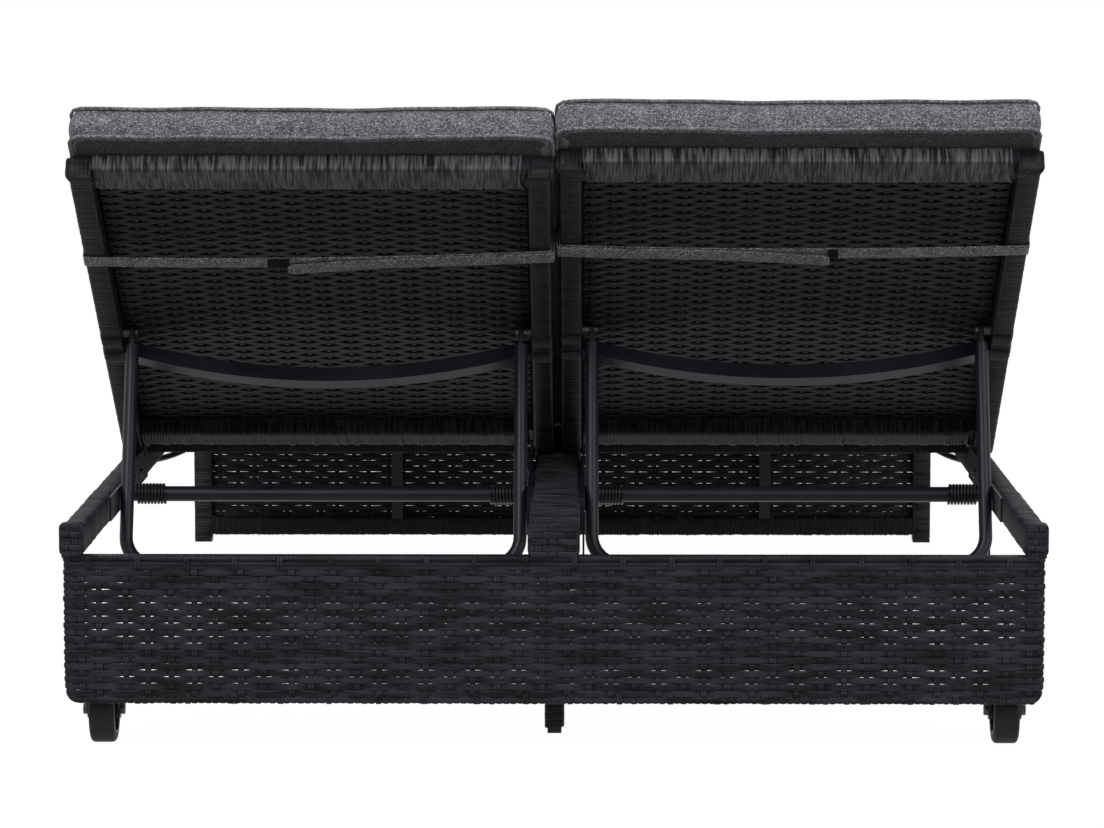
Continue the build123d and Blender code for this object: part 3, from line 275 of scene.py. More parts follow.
class Gather:
    """Collects closed strips of rings into one mesh."""

    def __init__(self):
        self.points = []
        self.faces = []
        self.count = 0

    def rings(self, rings, closed=False):
        """Rings is an array of strands, stations, ring points and coordinates."""
        strands, stations, sides = rings.shape[:3]
        index = np.arange(strands * stations * sides).reshape(strands, stations, sides) + self.count
        near = index if closed else index[:, :-1]
        far = np.roll(index, -1, axis=1) if closed else index[:, 1:]
        quads = np.stack([near, np.roll(near, -1, 2), np.roll(far, -1, 2), far], axis=-1)
        self.faces.extend(quads.reshape(-1, 4).tolist())
        if not closed:
            self.faces.extend(index[:, 0, ::-1].tolist())
            self.faces.extend(index[:, -1].tolist())
        self.points.append(rings.reshape(-1, 3))
        self.count += strands * stations * sides

    def finish(self, name, material, body, nodes=()):
        """Turn what was gathered into one smooth piece that rides on a body."""
        data = bpy.data.meshes.new(name)
        data.from_pydata(np.concatenate(self.points).tolist(), [], self.faces)
        shell = bmesh.new()
        shell.from_mesh(data)
        bmesh.ops.recalc_face_normals(shell, faces=shell.faces)
        shell.to_mesh(data)
        shell.free()
        data.polygons.foreach_set("use_smooth", [True] * len(data.polygons))
        data.materials.append(material)
        piece = bpy.data.objects.new(name, data)
        scene.collection.objects.link(piece)
        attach(piece, body)
        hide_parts(*nodes)
        return piece


def axes(origin, first, second, third):
    """Map from local coordinates to the part frame."""
    start = np.array(origin, float)
    turn = np.array([first, second, third], float)
    return lambda points: start + points @ turn


LENS = np.array([(-1, 0), (-0.93, 0.62), (-0.7, 0.95), (0.7, 0.95), (0.93, 0.62),
                 (1, 0), (0.93, -0.62), (0.7, -0.95), (-0.7, -0.95), (-0.93, -0.62)])


ROW_LOOSENESS = 0.08 * MM
STRAND_LOOSENESS = 0.05 * MM
TURN_LOOSENESS = 0.03 * MM


def lens_rings(centres, side, out, half_width, half_depth):
    """Rings of a flat strand round centre lines; side and out are unit vectors."""
    side = np.array(side, float)
    out = np.array(out, float)
    ring = LENS[:, :1] * half_width * side + LENS[:, 1:] * half_depth * out
    return centres[:, :, None, :] + ring[None, None]


# Strand width and depth, swing out of the sheet, drift along it beside a warp, width of a warp's strand
Look = namedtuple("Look", "width depth swing drift warp_width")


def weave(gather, place, across, up, look, pitch, row_pitch, seed, power=1.0, fade=None, steps=8,
          closed_rows=0, uneven=1.6 * MM):
    """Flat strands woven over and under double warps. place maps (across, up, out)."""
    luck = np.random.default_rng(seed)
    width, depth, swing, drift, warp_width = look
    columns = max(2, round((across[1] - across[0]) / pitch))
    pitch = (across[1] - across[0]) / columns
    rows = max(2, round((up[1] - up[0]) / row_pitch))
    row_pitch = (up[1] - up[0]) / rows
    first_row = up[0] + row_pitch / 2
    warps = across[0] + pitch * (0.5 + np.arange(columns)) + luck.normal(0, uneven, columns)
    along = np.linspace(across[0], across[1], columns * steps + 1)
    marks = np.concatenate([[warps[0] - pitch], warps, [warps[-1] + pitch]])
    wave = np.cos(pi * np.interp(along, marks, np.arange(-1, columns + 1)))
    sign = np.where(np.arange(rows) % 2 == 0, 1.0, -1.0)[:, None]
    part = np.sign(wave) * np.abs(wave) ** power
    if fade is not None:
        part = part * fade(along)
    shift = drift * sign * part
    if closed_rows:
        shift[:closed_rows] = 0
        shift[-closed_rows:] = 0
    height = first_row + row_pitch * np.arange(rows)[:, None] + shift
    height = height + luck.normal(0, ROW_LOOSENESS, (rows, 1))
    height = height + luck.normal(0, STRAND_LOOSENESS, height.shape)
    centres = np.stack([np.broadcast_to(along, height.shape), height, swing * sign * wave], axis=-1)
    gather.rings(place(lens_rings(centres, (0, 1, 0), (0, 0, 1), width / 2, depth / 2)))
    climb = np.linspace(up[0], up[1], rows * 4 + 1)
    wave = -swing * np.cos(pi * (climb - first_row) / row_pitch)
    sign = np.where(np.arange(columns) % 2 == 0, 1.0, -1.0)[:, None]
    for way in (-1, 1):
        sway = luck.normal(0, STRAND_LOOSENESS, (columns, len(climb)))
        place_x = warps[:, None] + way * warp_width * 0.5 + sway
        lines = np.stack([place_x, np.broadcast_to(climb, place_x.shape), sign * wave], axis=-1)
        gather.rings(place(lens_rings(lines, (1, 0, 0), (0, 0, 1), warp_width / 2, depth / 2)))


CORNER_STEPS = 3


def outline(width, depth, corner, per_side):
    """Rounded rectangle and its outward directions, anticlockwise."""
    points = []
    ways = []
    centres = [(sx * (width / 2 - corner), sy * (depth / 2 - corner))
               for sx, sy in ((1, 1), (-1, 1), (-1, -1), (1, -1))]
    for k, centre in enumerate(centres):
        for j in range(CORNER_STEPS + 1):
            angle = pi / 2 * (k + j / CORNER_STEPS)
            ways.append((cos(angle), sin(angle)))
            points.append((centre[0] + corner * cos(angle), centre[1] + corner * sin(angle)))
        following = centres[(k + 1) % 4]
        for j in range(per_side):
            share = (j + 1) / (per_side + 1)
            ways.append(ways[-1])
            points.append((points[-1 - j][0] + (following[0] - centre[0]) * share,
                           points[-1 - j][1] + (following[1] - centre[1]) * share))
    return np.array(points), np.array(ways)


RIB_PLACES = np.array([0.0, 0.15, 0.5, 0.85])
RIB_DROPS = np.array([1.0, 0.25, 0.0, 0.25])


def sleeve(gather, place, size, span, pitch, rib=0.9 * MM, corner=5 * MM, lean=0.0, raised=None,
           taper=None, seed=1, bend=None, uneven=0.08 * MM):
    """Tube wound with strand. place maps (along, across, depth) of the wound bar."""
    luck = np.random.default_rng(seed)
    points, ways = outline(size[0], size[1], corner, per_side=0 if bend is None else 5)
    turns = max(2, round((span[1] - span[0]) / pitch))
    step = (span[1] - span[0]) / turns
    starts = np.arange(turns)[:, None] + RIB_PLACES
    along = np.append((span[0] + step * starts).ravel(), span[1])
    lift = luck.normal(0, uneven, turns)
    if raised is not None:
        lift = lift + np.array([raised(span[0] + step * (k + 0.5)) for k in range(turns)])
    offset = (lift[:, None] - rib * RIB_DROPS).ravel()
    offset = np.append(offset, offset[0])
    slant = lean * points[:, 0] + luck.normal(0, TURN_LOOSENESS, (len(along), 1))
    if bend is not None:
        slant = slant + bend(points)
    across = points[:, 0] + offset[:, None] * ways[:, 0]
    depth = points[:, 1] + offset[:, None] * ways[:, 1]
    if taper is not None:
        depth = depth * np.array([taper(value) for value in along])[:, None]
    grid = np.stack([along[:, None] + slant, across, depth], axis=-1)
    gather.rings(place(grid[None]))


# Base

HEAD_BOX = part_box("head_weave")
FOOT_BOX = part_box("foot_weave")
WRAP_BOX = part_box("rail_wraps")
HEAD_Y = WRAP_BOX[0].y
FOOT_Y = WRAP_BOX[1].y
RAIL_LOW = WRAP_BOX[0].z
RAIL_TOP = WRAP_BOX[1].z
RAIL_OUTER = WRAP_BOX[1].x
RAIL_INNER = 0.6245
SPINE_HALF = 0.0325
STRAND_DEPTH = 1.4 * MM
LEG_SIZE = 32 * MM
FOOT_BAR = 28 * MM
PANEL_LOW_ROW = 0.0735
PANEL_TOP_ROW = 0.2445
PANEL_LOW_BAR = 0.0695
PANEL_TOP_BAR = 0.2585
PANEL_TOP = 0.262
PANEL_CORNER = 17 * MM
POST_LOW = 0.083
POST_PITCH = 9 * MM
BORDER_STRANDS = (0.2465, 0.2515)
BORDER_POINTS = 90
LOOP_PITCH = 64 * MM
LOW_LOOP = (0.064, 0.078)
BORDER_BACK = 4 * MM
BORDER_HALF = 2.3 * MM
CLOSED_HALF = 0.33
OPENING_REACH = 0.17
OPENING_LEAST = 0.12
OPENING_LEFT = 0.88
OPENING_RIGHT = 0.7
FOOT_ROWS = (0.042, 0.297)
FOOT_LOW_BAR = 0.029
WRAP_START = 20 * MM
WRAP_SEAM = -0.613
BLOCK_COVER = 1.8 * MM
MIDDLE_LEG = 27 * MM
LEG_PITCH = 5.2 * MM


def loops(gather, place, places, low, high, out, width):
    """Double vertical loops laid over a border at given places."""
    climb = np.linspace(low, high, 7)
    arch = out - 1.2 * MM * np.abs(np.linspace(-1, 1, 7)) ** 3
    for way in (-1, 1):
        across = np.array(places)[:, None] + way * width * 0.54 + 0 * climb
        lines = np.stack([across, np.broadcast_to(climb, across.shape), np.broadcast_to(arch, across.shape)],
                         axis=-1)
        gather.rings(place(lens_rings(lines, (1, 0, 0), (0, 0, 1), width / 2, STRAND_DEPTH / 2)))


def head_panel():
    """Woven head panel with its wound border."""
    gather = Gather()
    face = (HEAD_BOX[0].y + HEAD_BOX[1].y) / 2
    place = axes((0, face, 0), (1, 0, 0), (0, 0, 1), (0, -1, 0))
    half = HEAD_BOX[1].x
    look = Look(width=9.4 * MM, depth=STRAND_DEPTH, swing=1.8 * MM, drift=-0.5 * MM, warp_width=4.1 * MM)

    def fade(x):
        most = np.where(x < 0, OPENING_LEFT, OPENING_RIGHT)
        return OPENING_LEAST + most * np.clip((np.abs(x) - CLOSED_HALF) / OPENING_REACH, 0, 1)

    def every_second(at):
        return 0.8 * MM if round(at / POST_PITCH) % 2 else 0.0

    weave(gather, place, (-half + 5 * MM, half - 5 * MM), (PANEL_LOW_ROW, PANEL_TOP_ROW), look,
          pitch=31 * MM, row_pitch=9.0 * MM, seed=3, power=1.7, fade=fade, closed_rows=2)
    top = axes((0, face + BORDER_BACK, PANEL_TOP_BAR), (1, 0, 0), (0, 0, 1), (0, -1, 0))
    sleeve(gather, top, (8 * MM, 10 * MM), (-half + 2 * MM, half - 2 * MM), pitch=5.4 * MM, rib=1.5 * MM,
           corner=3.2 * MM, lean=0.3, seed=4, uneven=0.25 * MM)
    strip = np.linspace(-half + 6 * MM, half - 6 * MM, BORDER_POINTS)
    luck = np.random.default_rng(8)
    for height in BORDER_STRANDS:
        heights = height + luck.normal(0, 0.1 * MM, BORDER_POINTS)
        lines = np.stack([strip, heights, np.full(BORDER_POINTS, 1.2 * MM)], axis=-1)[None]
        gather.rings(place(lens_rings(lines, (0, 1, 0), (0, 0, 1), BORDER_HALF, STRAND_DEPTH / 2)))
    places = np.arange(-half + 34 * MM, half - 10 * MM, LOOP_PITCH)
    places = places + luck.normal(0, 2.5 * MM, len(places))
    loops(gather, place, places, PANEL_TOP_ROW - 1 * MM, PANEL_TOP, out=2.9 * MM, width=3.6 * MM)
    bar = axes((0, face + BORDER_BACK, PANEL_LOW_BAR), (1, 0, 0), (0, 0, 1), (0, -1, 0))
    sleeve(gather, bar, (12 * MM, 10 * MM), (-half + 14 * MM, half - 14 * MM), pitch=9.4 * MM, rib=1.3 * MM,
           corner=4.2 * MM, lean=-0.5, seed=5, uneven=0.3 * MM)
    places = np.arange(-half + 34 * MM, half - 20 * MM, LOOP_PITCH)
    places = places + luck.normal(0, 2.0 * MM, len(places))
    loops(gather, place, places, LOW_LOOP[0], LOW_LOOP[1], out=2.6 * MM, width=3.4 * MM)
    for way in (-1, 1):
        post = axes((way * (half - 4.5 * MM), face + BORDER_BACK, 0), (0, 0, 1), (1, 0, 0), (0, -1, 0))
        sleeve(gather, post, (9 * MM, 10 * MM), (POST_LOW, PANEL_TOP), POST_PITCH, rib=1.6 * MM,
               corner=3.5 * MM, lean=0.2 * way, raised=every_second, seed=6 + way, uneven=0.2 * MM)
        corner = []
        for k in range(9):
            angle = pi / 2 * k / 8
            x = half - 5 * MM - PANEL_CORNER + PANEL_CORNER * cos(angle)
            corner.append((way * x, POST_LOW + 2 * MM - PANEL_CORNER * sin(angle), -3.5 * MM))
        bend = lens_rings(np.array(corner)[None], (0.7 * way, -0.7, 0), (0, 0, 1), half_width=5 * MM,
                          half_depth=4.6 * MM)
        gather.rings(place(bend))
    gather.finish("head_panel_weave", STRAND, "base", ["head_weave"])


def foot_panel():
    """Woven foot panel inside its legs, and the wound bar below it."""
    gather = Gather()
    face = (FOOT_BOX[0].y + FOOT_BOX[1].y) / 2
    place = axes((0, face, 0), (1, 0, 0), (0, 0, 1), (0, 1, 0))
    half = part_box("leg_wraps")[1].x - LEG_SIZE + 2 * MM
    look = Look(width=10.2 * MM, depth=STRAND_DEPTH, swing=1.5 * MM, drift=-0.5 * MM, warp_width=4.3 * MM)
    weave(gather, place, (-half, half), FOOT_ROWS, look, pitch=30 * MM, row_pitch=10.2 * MM, seed=11,
          power=1.5)
    bar = axes((0, face, FOOT_LOW_BAR), (1, 0, 0), (0, 0, 1), (0, -1, 0))
    sleeve(gather, bar, (26 * MM, 7 * MM), (-half, half), pitch=6.4 * MM, rib=1.4 * MM, corner=3 * MM,
           lean=0.4, seed=12, uneven=0.25 * MM)
    gather.finish("foot_panel_weave", STRAND, "base", ["foot_weave"])
    gather = Gather()
    low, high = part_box("foot_frame")
    bar = axes((0, (low.y + high.y) / 2, low.z + FOOT_BAR / 2), (1, 0, 0), (0, 0, 1), (0, -1, 0))
    size = (FOOT_BAR + 4 * MM, high.y - low.y + 3 * MM)
    sleeve(gather, bar, size, (-half, half), pitch=4.8 * MM, rib=1.4 * MM, corner=3.5 * MM, lean=0.2,
           seed=13, uneven=0.3 * MM)
    gather.finish("foot_bar_wrap", WOUND_LOW_PAINTED_SHADE, "base")


def base_wraps():
    """Strand wound round the side rails and the spine, thicker on the head side of a seam."""
    gather = Gather()
    middle = (RAIL_LOW + RAIL_TOP) / 2
    depth = RAIL_TOP - RAIL_LOW

    def thick(at):
        return 0.8 * MM if at < WRAP_SEAM else 0.0

    for way in (-1, 1):
        centre = way * (RAIL_INNER + RAIL_OUTER) / 2
        place = axes((centre, 0, middle), (0, 1, 0), (1, 0, 0), (0, 0, 1))
        size = (RAIL_OUTER - RAIL_INNER, depth)
        sleeve(gather, place, size, (HEAD_Y + WRAP_START, FOOT_Y), pitch=6.4 * MM, rib=1.3 * MM,
               lean=0.12 * way, raised=thick, seed=20 + way, uneven=0.35 * MM)
    gather.finish("side_rail_wraps", WOUND_RAIL, "base", ["rail_wraps"])
    gather = Gather()
    place = axes((0, 0, middle), (0, 1, 0), (1, 0, 0), (0, 0, 1))
    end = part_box("foot_frame")[0].y
    sleeve(gather, place, (2 * SPINE_HALF, depth), (HEAD_Y + WRAP_START, end), pitch=5.6 * MM,
           rib=1.1 * MM, lean=0.05, raised=thick, seed=24, uneven=0.25 * MM)
    gather.finish("spine_wrap", WOUND_RAIL, "base", ["rail_wraps"])


def head_ends():
    """Woven blocks over the head ends of the rails and the spine."""
    gather = Gather()
    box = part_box("head_end_wraps")
    top = box[1].z
    low = box[0].z
    length = box[1].y - box[0].y
    spans = ((-box[1].x, -RAIL_INNER + BLOCK_COVER), (RAIL_INNER - BLOCK_COVER, box[1].x),
             (-SPINE_HALF - BLOCK_COVER, SPINE_HALF + BLOCK_COVER))
    for k, (x0, x1) in enumerate(spans):
        place = axes(((x0 + x1) / 2, HEAD_Y, (low + top) / 2), (0, 1, 0), (1, 0, 0), (0, 0, 1))
        sleeve(gather, place, (x1 - x0, top - low), (1.5 * MM, length), pitch=8 * MM, rib=2.0 * MM,
               corner=7 * MM, seed=30 + k, uneven=0.4 * MM)
        front = axes(((x0 + x1) / 2, HEAD_Y + 0.6 * MM, (low + top) / 2), (1, 0, 0), (0, 0, 1), (0, -1, 0))
        half = (x1 - x0) / 2 - 3 * MM
        rise = (top - low) / 2
        look = Look(width=8.4 * MM, depth=1.5 * MM, swing=1.5 * MM, drift=-0.4 * MM, warp_width=4.0 * MM)
        weave(gather, front, (-half, half), (-rise - 2 * MM, rise - 2 * MM), look, pitch=22 * MM,
              row_pitch=8.6 * MM, seed=40 + k)
    gather.finish("head_end_blocks", STRAND, "base", ["head_end_wraps"])


def leg_sleeves():
    """Strand wound round the foot legs and the middle leg."""
    gather = Gather()
    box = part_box("leg_wraps")
    half = LEG_SIZE / 2
    for way in (-1, 1):
        place = axes((way * (box[1].x - half), box[1].y - half, 0), (0, 0, 1), (1, 0, 0), (0, 1, 0))
        sleeve(gather, place, (LEG_SIZE, LEG_SIZE), (6 * MM, RAIL_LOW), LEG_PITCH, rib=1.2 * MM,
               corner=6.5 * MM, lean=0.06, seed=50 + way)
    place = axes((0, box[0].y + MIDDLE_LEG / 2, 0), (0, 0, 1), (1, 0, 0), (0, 1, 0))
    sleeve(gather, place, (MIDDLE_LEG, MIDDLE_LEG), (8 * MM, RAIL_LOW), LEG_PITCH, rib=1.2 * MM,
           corner=6 * MM, lean=0.06, seed=54)
    gather.finish("leg_wraps_wound", WOUND_LEG, "base", ["leg_wraps"])


def seat_panel(name):
    """Woven seat sheet under the cushion, and the wound rear rail of its frame."""
    gather = Gather()
    low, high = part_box("seat_weave_" + name)
    place = axes((0, 0, (low.z + high.z) / 2 - 0.4 * MM), (0, 1, 0), (1, 0, 0), (0, 0, 1))
    look = Look(width=8.4 * MM, depth=1.3 * MM, swing=0.9 * MM, drift=0.6 * MM, warp_width=3.6 * MM)
    weave(gather, place, (low.y, high.y), (low.x, high.x), look, pitch=32 * MM, row_pitch=9.2 * MM, seed=60,
          steps=4)
    gather.finish("seat_panel_" + name, STRAND_BACK, "base", ["seat_weave_" + name])
    gather = Gather()
    low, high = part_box("seat_frame_" + name)
    rail = BACK_HALF - BACK_INNER
    middle = ((low.x + high.x) / 2, low.y + rail / 2, (low.z + high.z) / 2)
    place = axes(middle, (1, 0, 0), (0, 1, 0), (0, 0, 1))
    size = (rail + 2.6 * MM, high.z - low.z + 0.6 * MM)
    sleeve(gather, place, size, (-BACK_INNER, BACK_INNER), pitch=5.2 * MM, rib=1.2 * MM, corner=2 * MM,
           lean=0.02, seed=61, uneven=0.2 * MM)
    gather.finish("seat_rail_wrap_" + name, WOUND_LOW_PAINTED_SHADE, "base")


# Backrests

BACK_LENGTH = 0.785
BACK_HALF = 0.325
BACK_INNER = 0.2945
BACK_DEPTH = 0.034
BACK_MID = BACK_DEPTH / 2
COVER = 2.2 * MM
SHEET_DEPTH = 29 * MM
SHEET_LOW = 0.046
SHEET_TOP = 0.738
TOP_RAIL = (0.735, 0.785, 14 * MM)
LOW_RAIL = (0.018, 0.050, 5 * MM)
BANDS = ((0.279, 0.306), (0.321, 0.347))
BAND_LENGTH = 26 * MM
BAND_PITCH = 5.2 * MM
KNOT_DROP = 11 * MM
KNOT_HEIGHT = 23 * MM
JOINTS = {joint["name"]: joint for joint in frame["joints"]}


def back_axes(name):
    """Map from a backrest's across, up and depth coordinates to the part frame."""
    hinge = JOINTS["backrest_%s_hinge" % name]["pos_m"]
    pivot = JOINTS["stand_%s_pivot" % name]["pos_m"]
    tilt = atan2(pivot[2] - hinge[2], hinge[1] - pivot[1])
    deep = (0, sin(tilt), cos(tilt))
    origin = np.array(hinge) - BACK_MID * np.array(deep)
    return axes(origin, (1, 0, 0), (0, -cos(tilt), sin(tilt)), deep)


def turned(place, order, start=(0, 0, 0)):
    """The same map with its coordinates in another order, from another start."""
    swap = np.zeros((3, 3))
    for k, axis in enumerate(order):
        swap[k, axis] = 1
    return lambda points: place(np.array(start) + points @ swap)


def from_behind(place, depth):
    """The same map with its depth turned round, from a depth."""
    return lambda points: place(points * np.array([1, 1, -1]) + np.array([0, 0, depth]))


def back_panel(name):
    """Woven sheet of a backrest, seen from behind."""
    gather = Gather()
    place = from_behind(back_axes(name), SHEET_DEPTH)
    look = Look(width=9.2 * MM, depth=STRAND_DEPTH, swing=1.15 * MM, drift=-1.5 * MM, warp_width=3.6 * MM)
    weave(gather, place, (-BACK_INNER, BACK_INNER), (SHEET_LOW, SHEET_TOP), look, pitch=31 * MM,
          row_pitch=9.6 * MM, seed=70, power=1.3)
    gather.finish("back_panel_" + name, STRAND_BACK, "backrest_" + name, ["back_weave_" + name])


def back_wraps(name):
    """Strand wound round the two side bars of a backrest, with their bands and knots."""
    gather = Gather()
    place = back_axes(name)

    def bands(at):
        return 0.7 * MM if any(low < at < high for low, high in BANDS) else 0.0

    def rounded(at):
        return max(0.2, (1 - (min(at, 0) / BACK_MID) ** 2)) ** 0.5

    for way in (-1, 1):
        centre = way * (BACK_INNER + BACK_HALF) / 2
        bar = turned(place, (1, 0, 2), (centre, 0, BACK_MID))
        size = (BACK_HALF - BACK_INNER, BACK_DEPTH)
        sleeve(gather, bar, size, (-BACK_MID + 1 * MM, BACK_LENGTH), pitch=4.9 * MM, rib=0.7 * MM,
               lean=0.10 * way, raised=bands, taper=rounded, seed=80 + way, uneven=0.12 * MM)
        knot = turned(place, (0, 1, 2), (centre, BACK_LENGTH - KNOT_DROP, BACK_MID))
        wide = (BACK_HALF - BACK_INNER) / 2
        sleeve(gather, knot, (KNOT_HEIGHT, BACK_DEPTH + 1.0 * MM), (-wide, wide), pitch=5.1 * MM,
               rib=1.6 * MM, corner=7 * MM, lean=0.4 * way, seed=90 + way, uneven=0.5 * MM)
        for low, _ in BANDS:
            band = [centre + way * (k - 2) * BAND_PITCH for k in range(5)]
            loops(gather, from_behind(place, 0), band, low, low + BAND_LENGTH, out=2.0 * MM, width=2.2 * MM)
    gather.finish("back_side_wraps_" + name, WOUND_BACK, "backrest_" + name, ["back_wraps_" + name])


LIFT_PITCH = 0.032
LIFT_WIDTH = 0.0095
COMB_REACH = 25 * MM
COMB_SHIFT = 8 * MM
COMB_ROOM = 9 * MM


def raised_strands(at):
    """Lift of about two strands in every seven of a cross rail's wrap."""
    return 0.8 * MM if (at + 1.0) % LIFT_PITCH < LIFT_WIDTH else 0.0


def comb(points):
    """Sideways bend of a cross rail's strands over its lower rear edge."""
    share = np.clip(-points[:, 0] / COMB_REACH, 0, 1)
    return COMB_SHIFT * share ** 2 * (points[:, 1] < 0)


def cross_wrap(name, piece, rail, seed, look):
    """Strand wound round a cross rail of a backrest."""
    low, high, rear = rail
    gather = Gather()
    bar = turned(back_axes(name), (0, 1, 2), (0, (low + high) / 2, (rear + BACK_DEPTH) / 2))
    size = (high - low + 2 * COVER, BACK_DEPTH - rear + 2 * COVER)
    sleeve(gather, bar, size, (-BACK_INNER, BACK_INNER - COMB_ROOM), pitch=4.6 * MM, rib=1.6 * MM,
           corner=3.8 * MM, lean=0.04, raised=raised_strands, seed=seed, bend=comb, uneven=0.3 * MM)
    gather.finish(piece + name, look, "backrest_" + name)


# Cushions and straps

CUSHION_HALF = 0.3235
CUSHION_THICK = 50 * MM
CUSHION_CORNER = 16 * MM
BACK_CUSHION_TOP = 0.827
OUTLINE_STEP = 12 * MM
SEAM_HEIGHT = 2.6 * MM
SEAM_INSET = 3.4 * MM
FACE_INSET = 3.2 * MM
FACE_SHARES = (0.985, 0.96, 0.92, 0.85, 0.75, 0.6, 0.45, 0.3, 0.15, 0.04)
SIDE_PROFILE = ((0.07, 3.0), (0.13, 1.6), (0.22, 0.2), (0.35, -0.9), (0.5, -1.2), (0.65, -0.9), (0.8, 0.2),
                (0.9, 1.6), (0.95, 3.0))
LOWER_SAG = -1.6 * MM
CROWN = 5.0 * MM
PIPING = 2.5 * MM
WANDER = 2.2 * MM
UNDERSIDE_DARK_TOP = 7 * MM
INNER_REACH = 6 * MM
LEAN = 0.374
LEAN_PARTS = 12


def cushion_outline(half, y0, y1):
    """Closed plan of a cushion with rounded corners, as evenly spaced points."""
    r = CUSHION_CORNER
    x = half - r
    dense = []
    for cx, cy, start in ((x, y1 - r, 0), (-x, y1 - r, 1), (-x, y0 + r, 2), (x, y0 + r, 3)):
        for j in range(7):
            angle = pi / 2 * (start + j / 6)
            dense.append((cx + r * cos(angle), cy + r * sin(angle)))
    dense = np.array(dense + dense[:1])
    run = np.append(0, np.cumsum(np.hypot(*(dense[1:] - dense[:-1]).T)))
    count = int(round(run[-1] / OUTLINE_STEP))
    at = np.linspace(0, run[-1], count, endpoint=False)
    return np.stack([np.interp(at, run, dense[:, 0]), np.interp(at, run, dense[:, 1])], axis=-1)


class Pad:
    """One box cushion in its own frame: across, along, up from its underside."""

    def __init__(self, y0, y1, seed):
        self.half = CUSHION_HALF
        self.y0 = y0
        self.y1 = y1
        self.thick = CUSHION_THICK
        luck = np.random.default_rng(seed)
        self.phases = luck.uniform(0, 2 * pi, 8)

    def lean(self, y, z):
        """Shift along the cushion that slants its first end."""
        share = (y - self.y0) / (self.y1 - self.y0)
        return z * LEAN * np.clip(1 - share * LEAN_PARTS, 0, 1)

    def wander(self, points):
        """Slow waviness along the seams."""
        s = points[:, 0] * 9.0 + points[:, 1] * 7.0
        p = self.phases
        waves = np.sin(s + p[0]) * 0.5 + np.sin(2.3 * s + p[1]) * 0.35 + np.sin(5.1 * s + p[2]) * 0.25
        return WANDER * waves

    def inside(self, points):
        """Whether every point lies within the seams of the underside."""
        reach = 3.6 * MM
        return (np.abs(points[:, 0]).max() < self.half - reach
                and points[:, 1].min() > self.y0 + reach and points[:, 1].max() < self.y1 - reach)

    def ring(self, inset, z):
        """One wandering ring round the cushion, at an inset and a height."""
        plan = cushion_outline(self.half, self.y0, self.y1)
        middle = np.array([0.0, (self.y0 + self.y1) / 2])
        spread = np.array([self.half, (self.y1 - self.y0) / 2])
        plan = middle + (plan - middle) * (spread - inset) / spread
        plan[:, 0] -= INNER_REACH * np.clip(-4 * plan[:, 0] / self.half - 3, 0, 1)
        height = z + self.wander(plan)
        return np.stack([plan[:, 0], plan[:, 1] + self.lean(plan[:, 1], height), height], axis=-1)

    def face(self, z, crown):
        """Rings from the edge to the middle of a crowned face."""
        edge = self.ring(FACE_INSET, z)
        middle = np.array([0.0, (self.y0 + self.y1) / 2, 0.0])
        rings = []
        for share in FACE_SHARES:
            plan = middle + (edge - middle) * np.array([share, share, 0])
            x = plan[:, 0] / self.half
            y = (plan[:, 1] - middle[1]) / ((self.y1 - self.y0) / 2)
            swell = (1 - np.abs(np.clip(x, -1, 1)) ** 5) * (1 - np.abs(np.clip(y, -1, 1)) ** 9)
            p = self.phases
            dimple = 0.6 * MM * np.sin(plan[:, 0] * 14 + p[3]) * np.sin(plan[:, 1] * 11 + p[4])
            height = edge[:, 2] * share + z * (1 - share) + (crown + dimple) * np.sqrt(np.clip(swell, 0, 1))
            rings.append(np.stack([plan[:, 0], plan[:, 1], height], axis=-1))
        return rings

    def shell(self):
        """Closed crowned body with bulging sides between its two seams, as points and faces."""
        low = SEAM_HEIGHT
        high = self.thick - SEAM_HEIGHT
        rings = self.face(low, LOWER_SAG)[::-1]
        rings.append(self.ring(SEAM_INSET, low))
        for share, inset in SIDE_PROFILE:
            rings.append(self.ring(inset * MM, low + (high - low) * share))
        rings.append(self.ring(SEAM_INSET, high))
        rings += self.face(high, CROWN)
        gather = Gather()
        gather.rings(np.array(rings)[None])
        return gather.points[0], gather.faces

    def piping(self, gather, place):
        """Round cord sewn along both seams."""
        for z in (SEAM_HEIGHT, self.thick - SEAM_HEIGHT):
            line = self.ring(0.6 * MM, z)
            ahead = np.roll(line, -1, 0) - np.roll(line, 1, 0)
            ahead /= np.linalg.norm(ahead, axis=1)[:, None]
            up = np.array([0.0, 0.0, 1.0])
            side = np.cross(ahead, up)
            side /= np.linalg.norm(side, axis=1)[:, None]
            angles = np.linspace(0, 2 * pi, 8, endpoint=False)
            ring = np.cos(angles)[None, :, None] * side[:, None] + np.sin(angles)[None, :, None] * up
            ring = ring * PIPING
            gather.rings(place((line[:, None] + ring)[None]), closed=True)


def coordinates(data):
    """Vertex coordinates of a mesh as an array."""
    found = np.zeros(len(data.vertices) * 3)
    data.vertices.foreach_get("co", found)
    return found.reshape(-1, 3)


SEAM_REACH = 9 * MM
SEAM_BAND = 4 * MM
HELD_LOW = 6 * MM
TOP_RISE = 4.5 * MM
SIDE_RISE = 3.0 * MM
END_RISE = 0.8 * MM
INNER_RISE = 0.3 * MM
LAST_STEP = 20


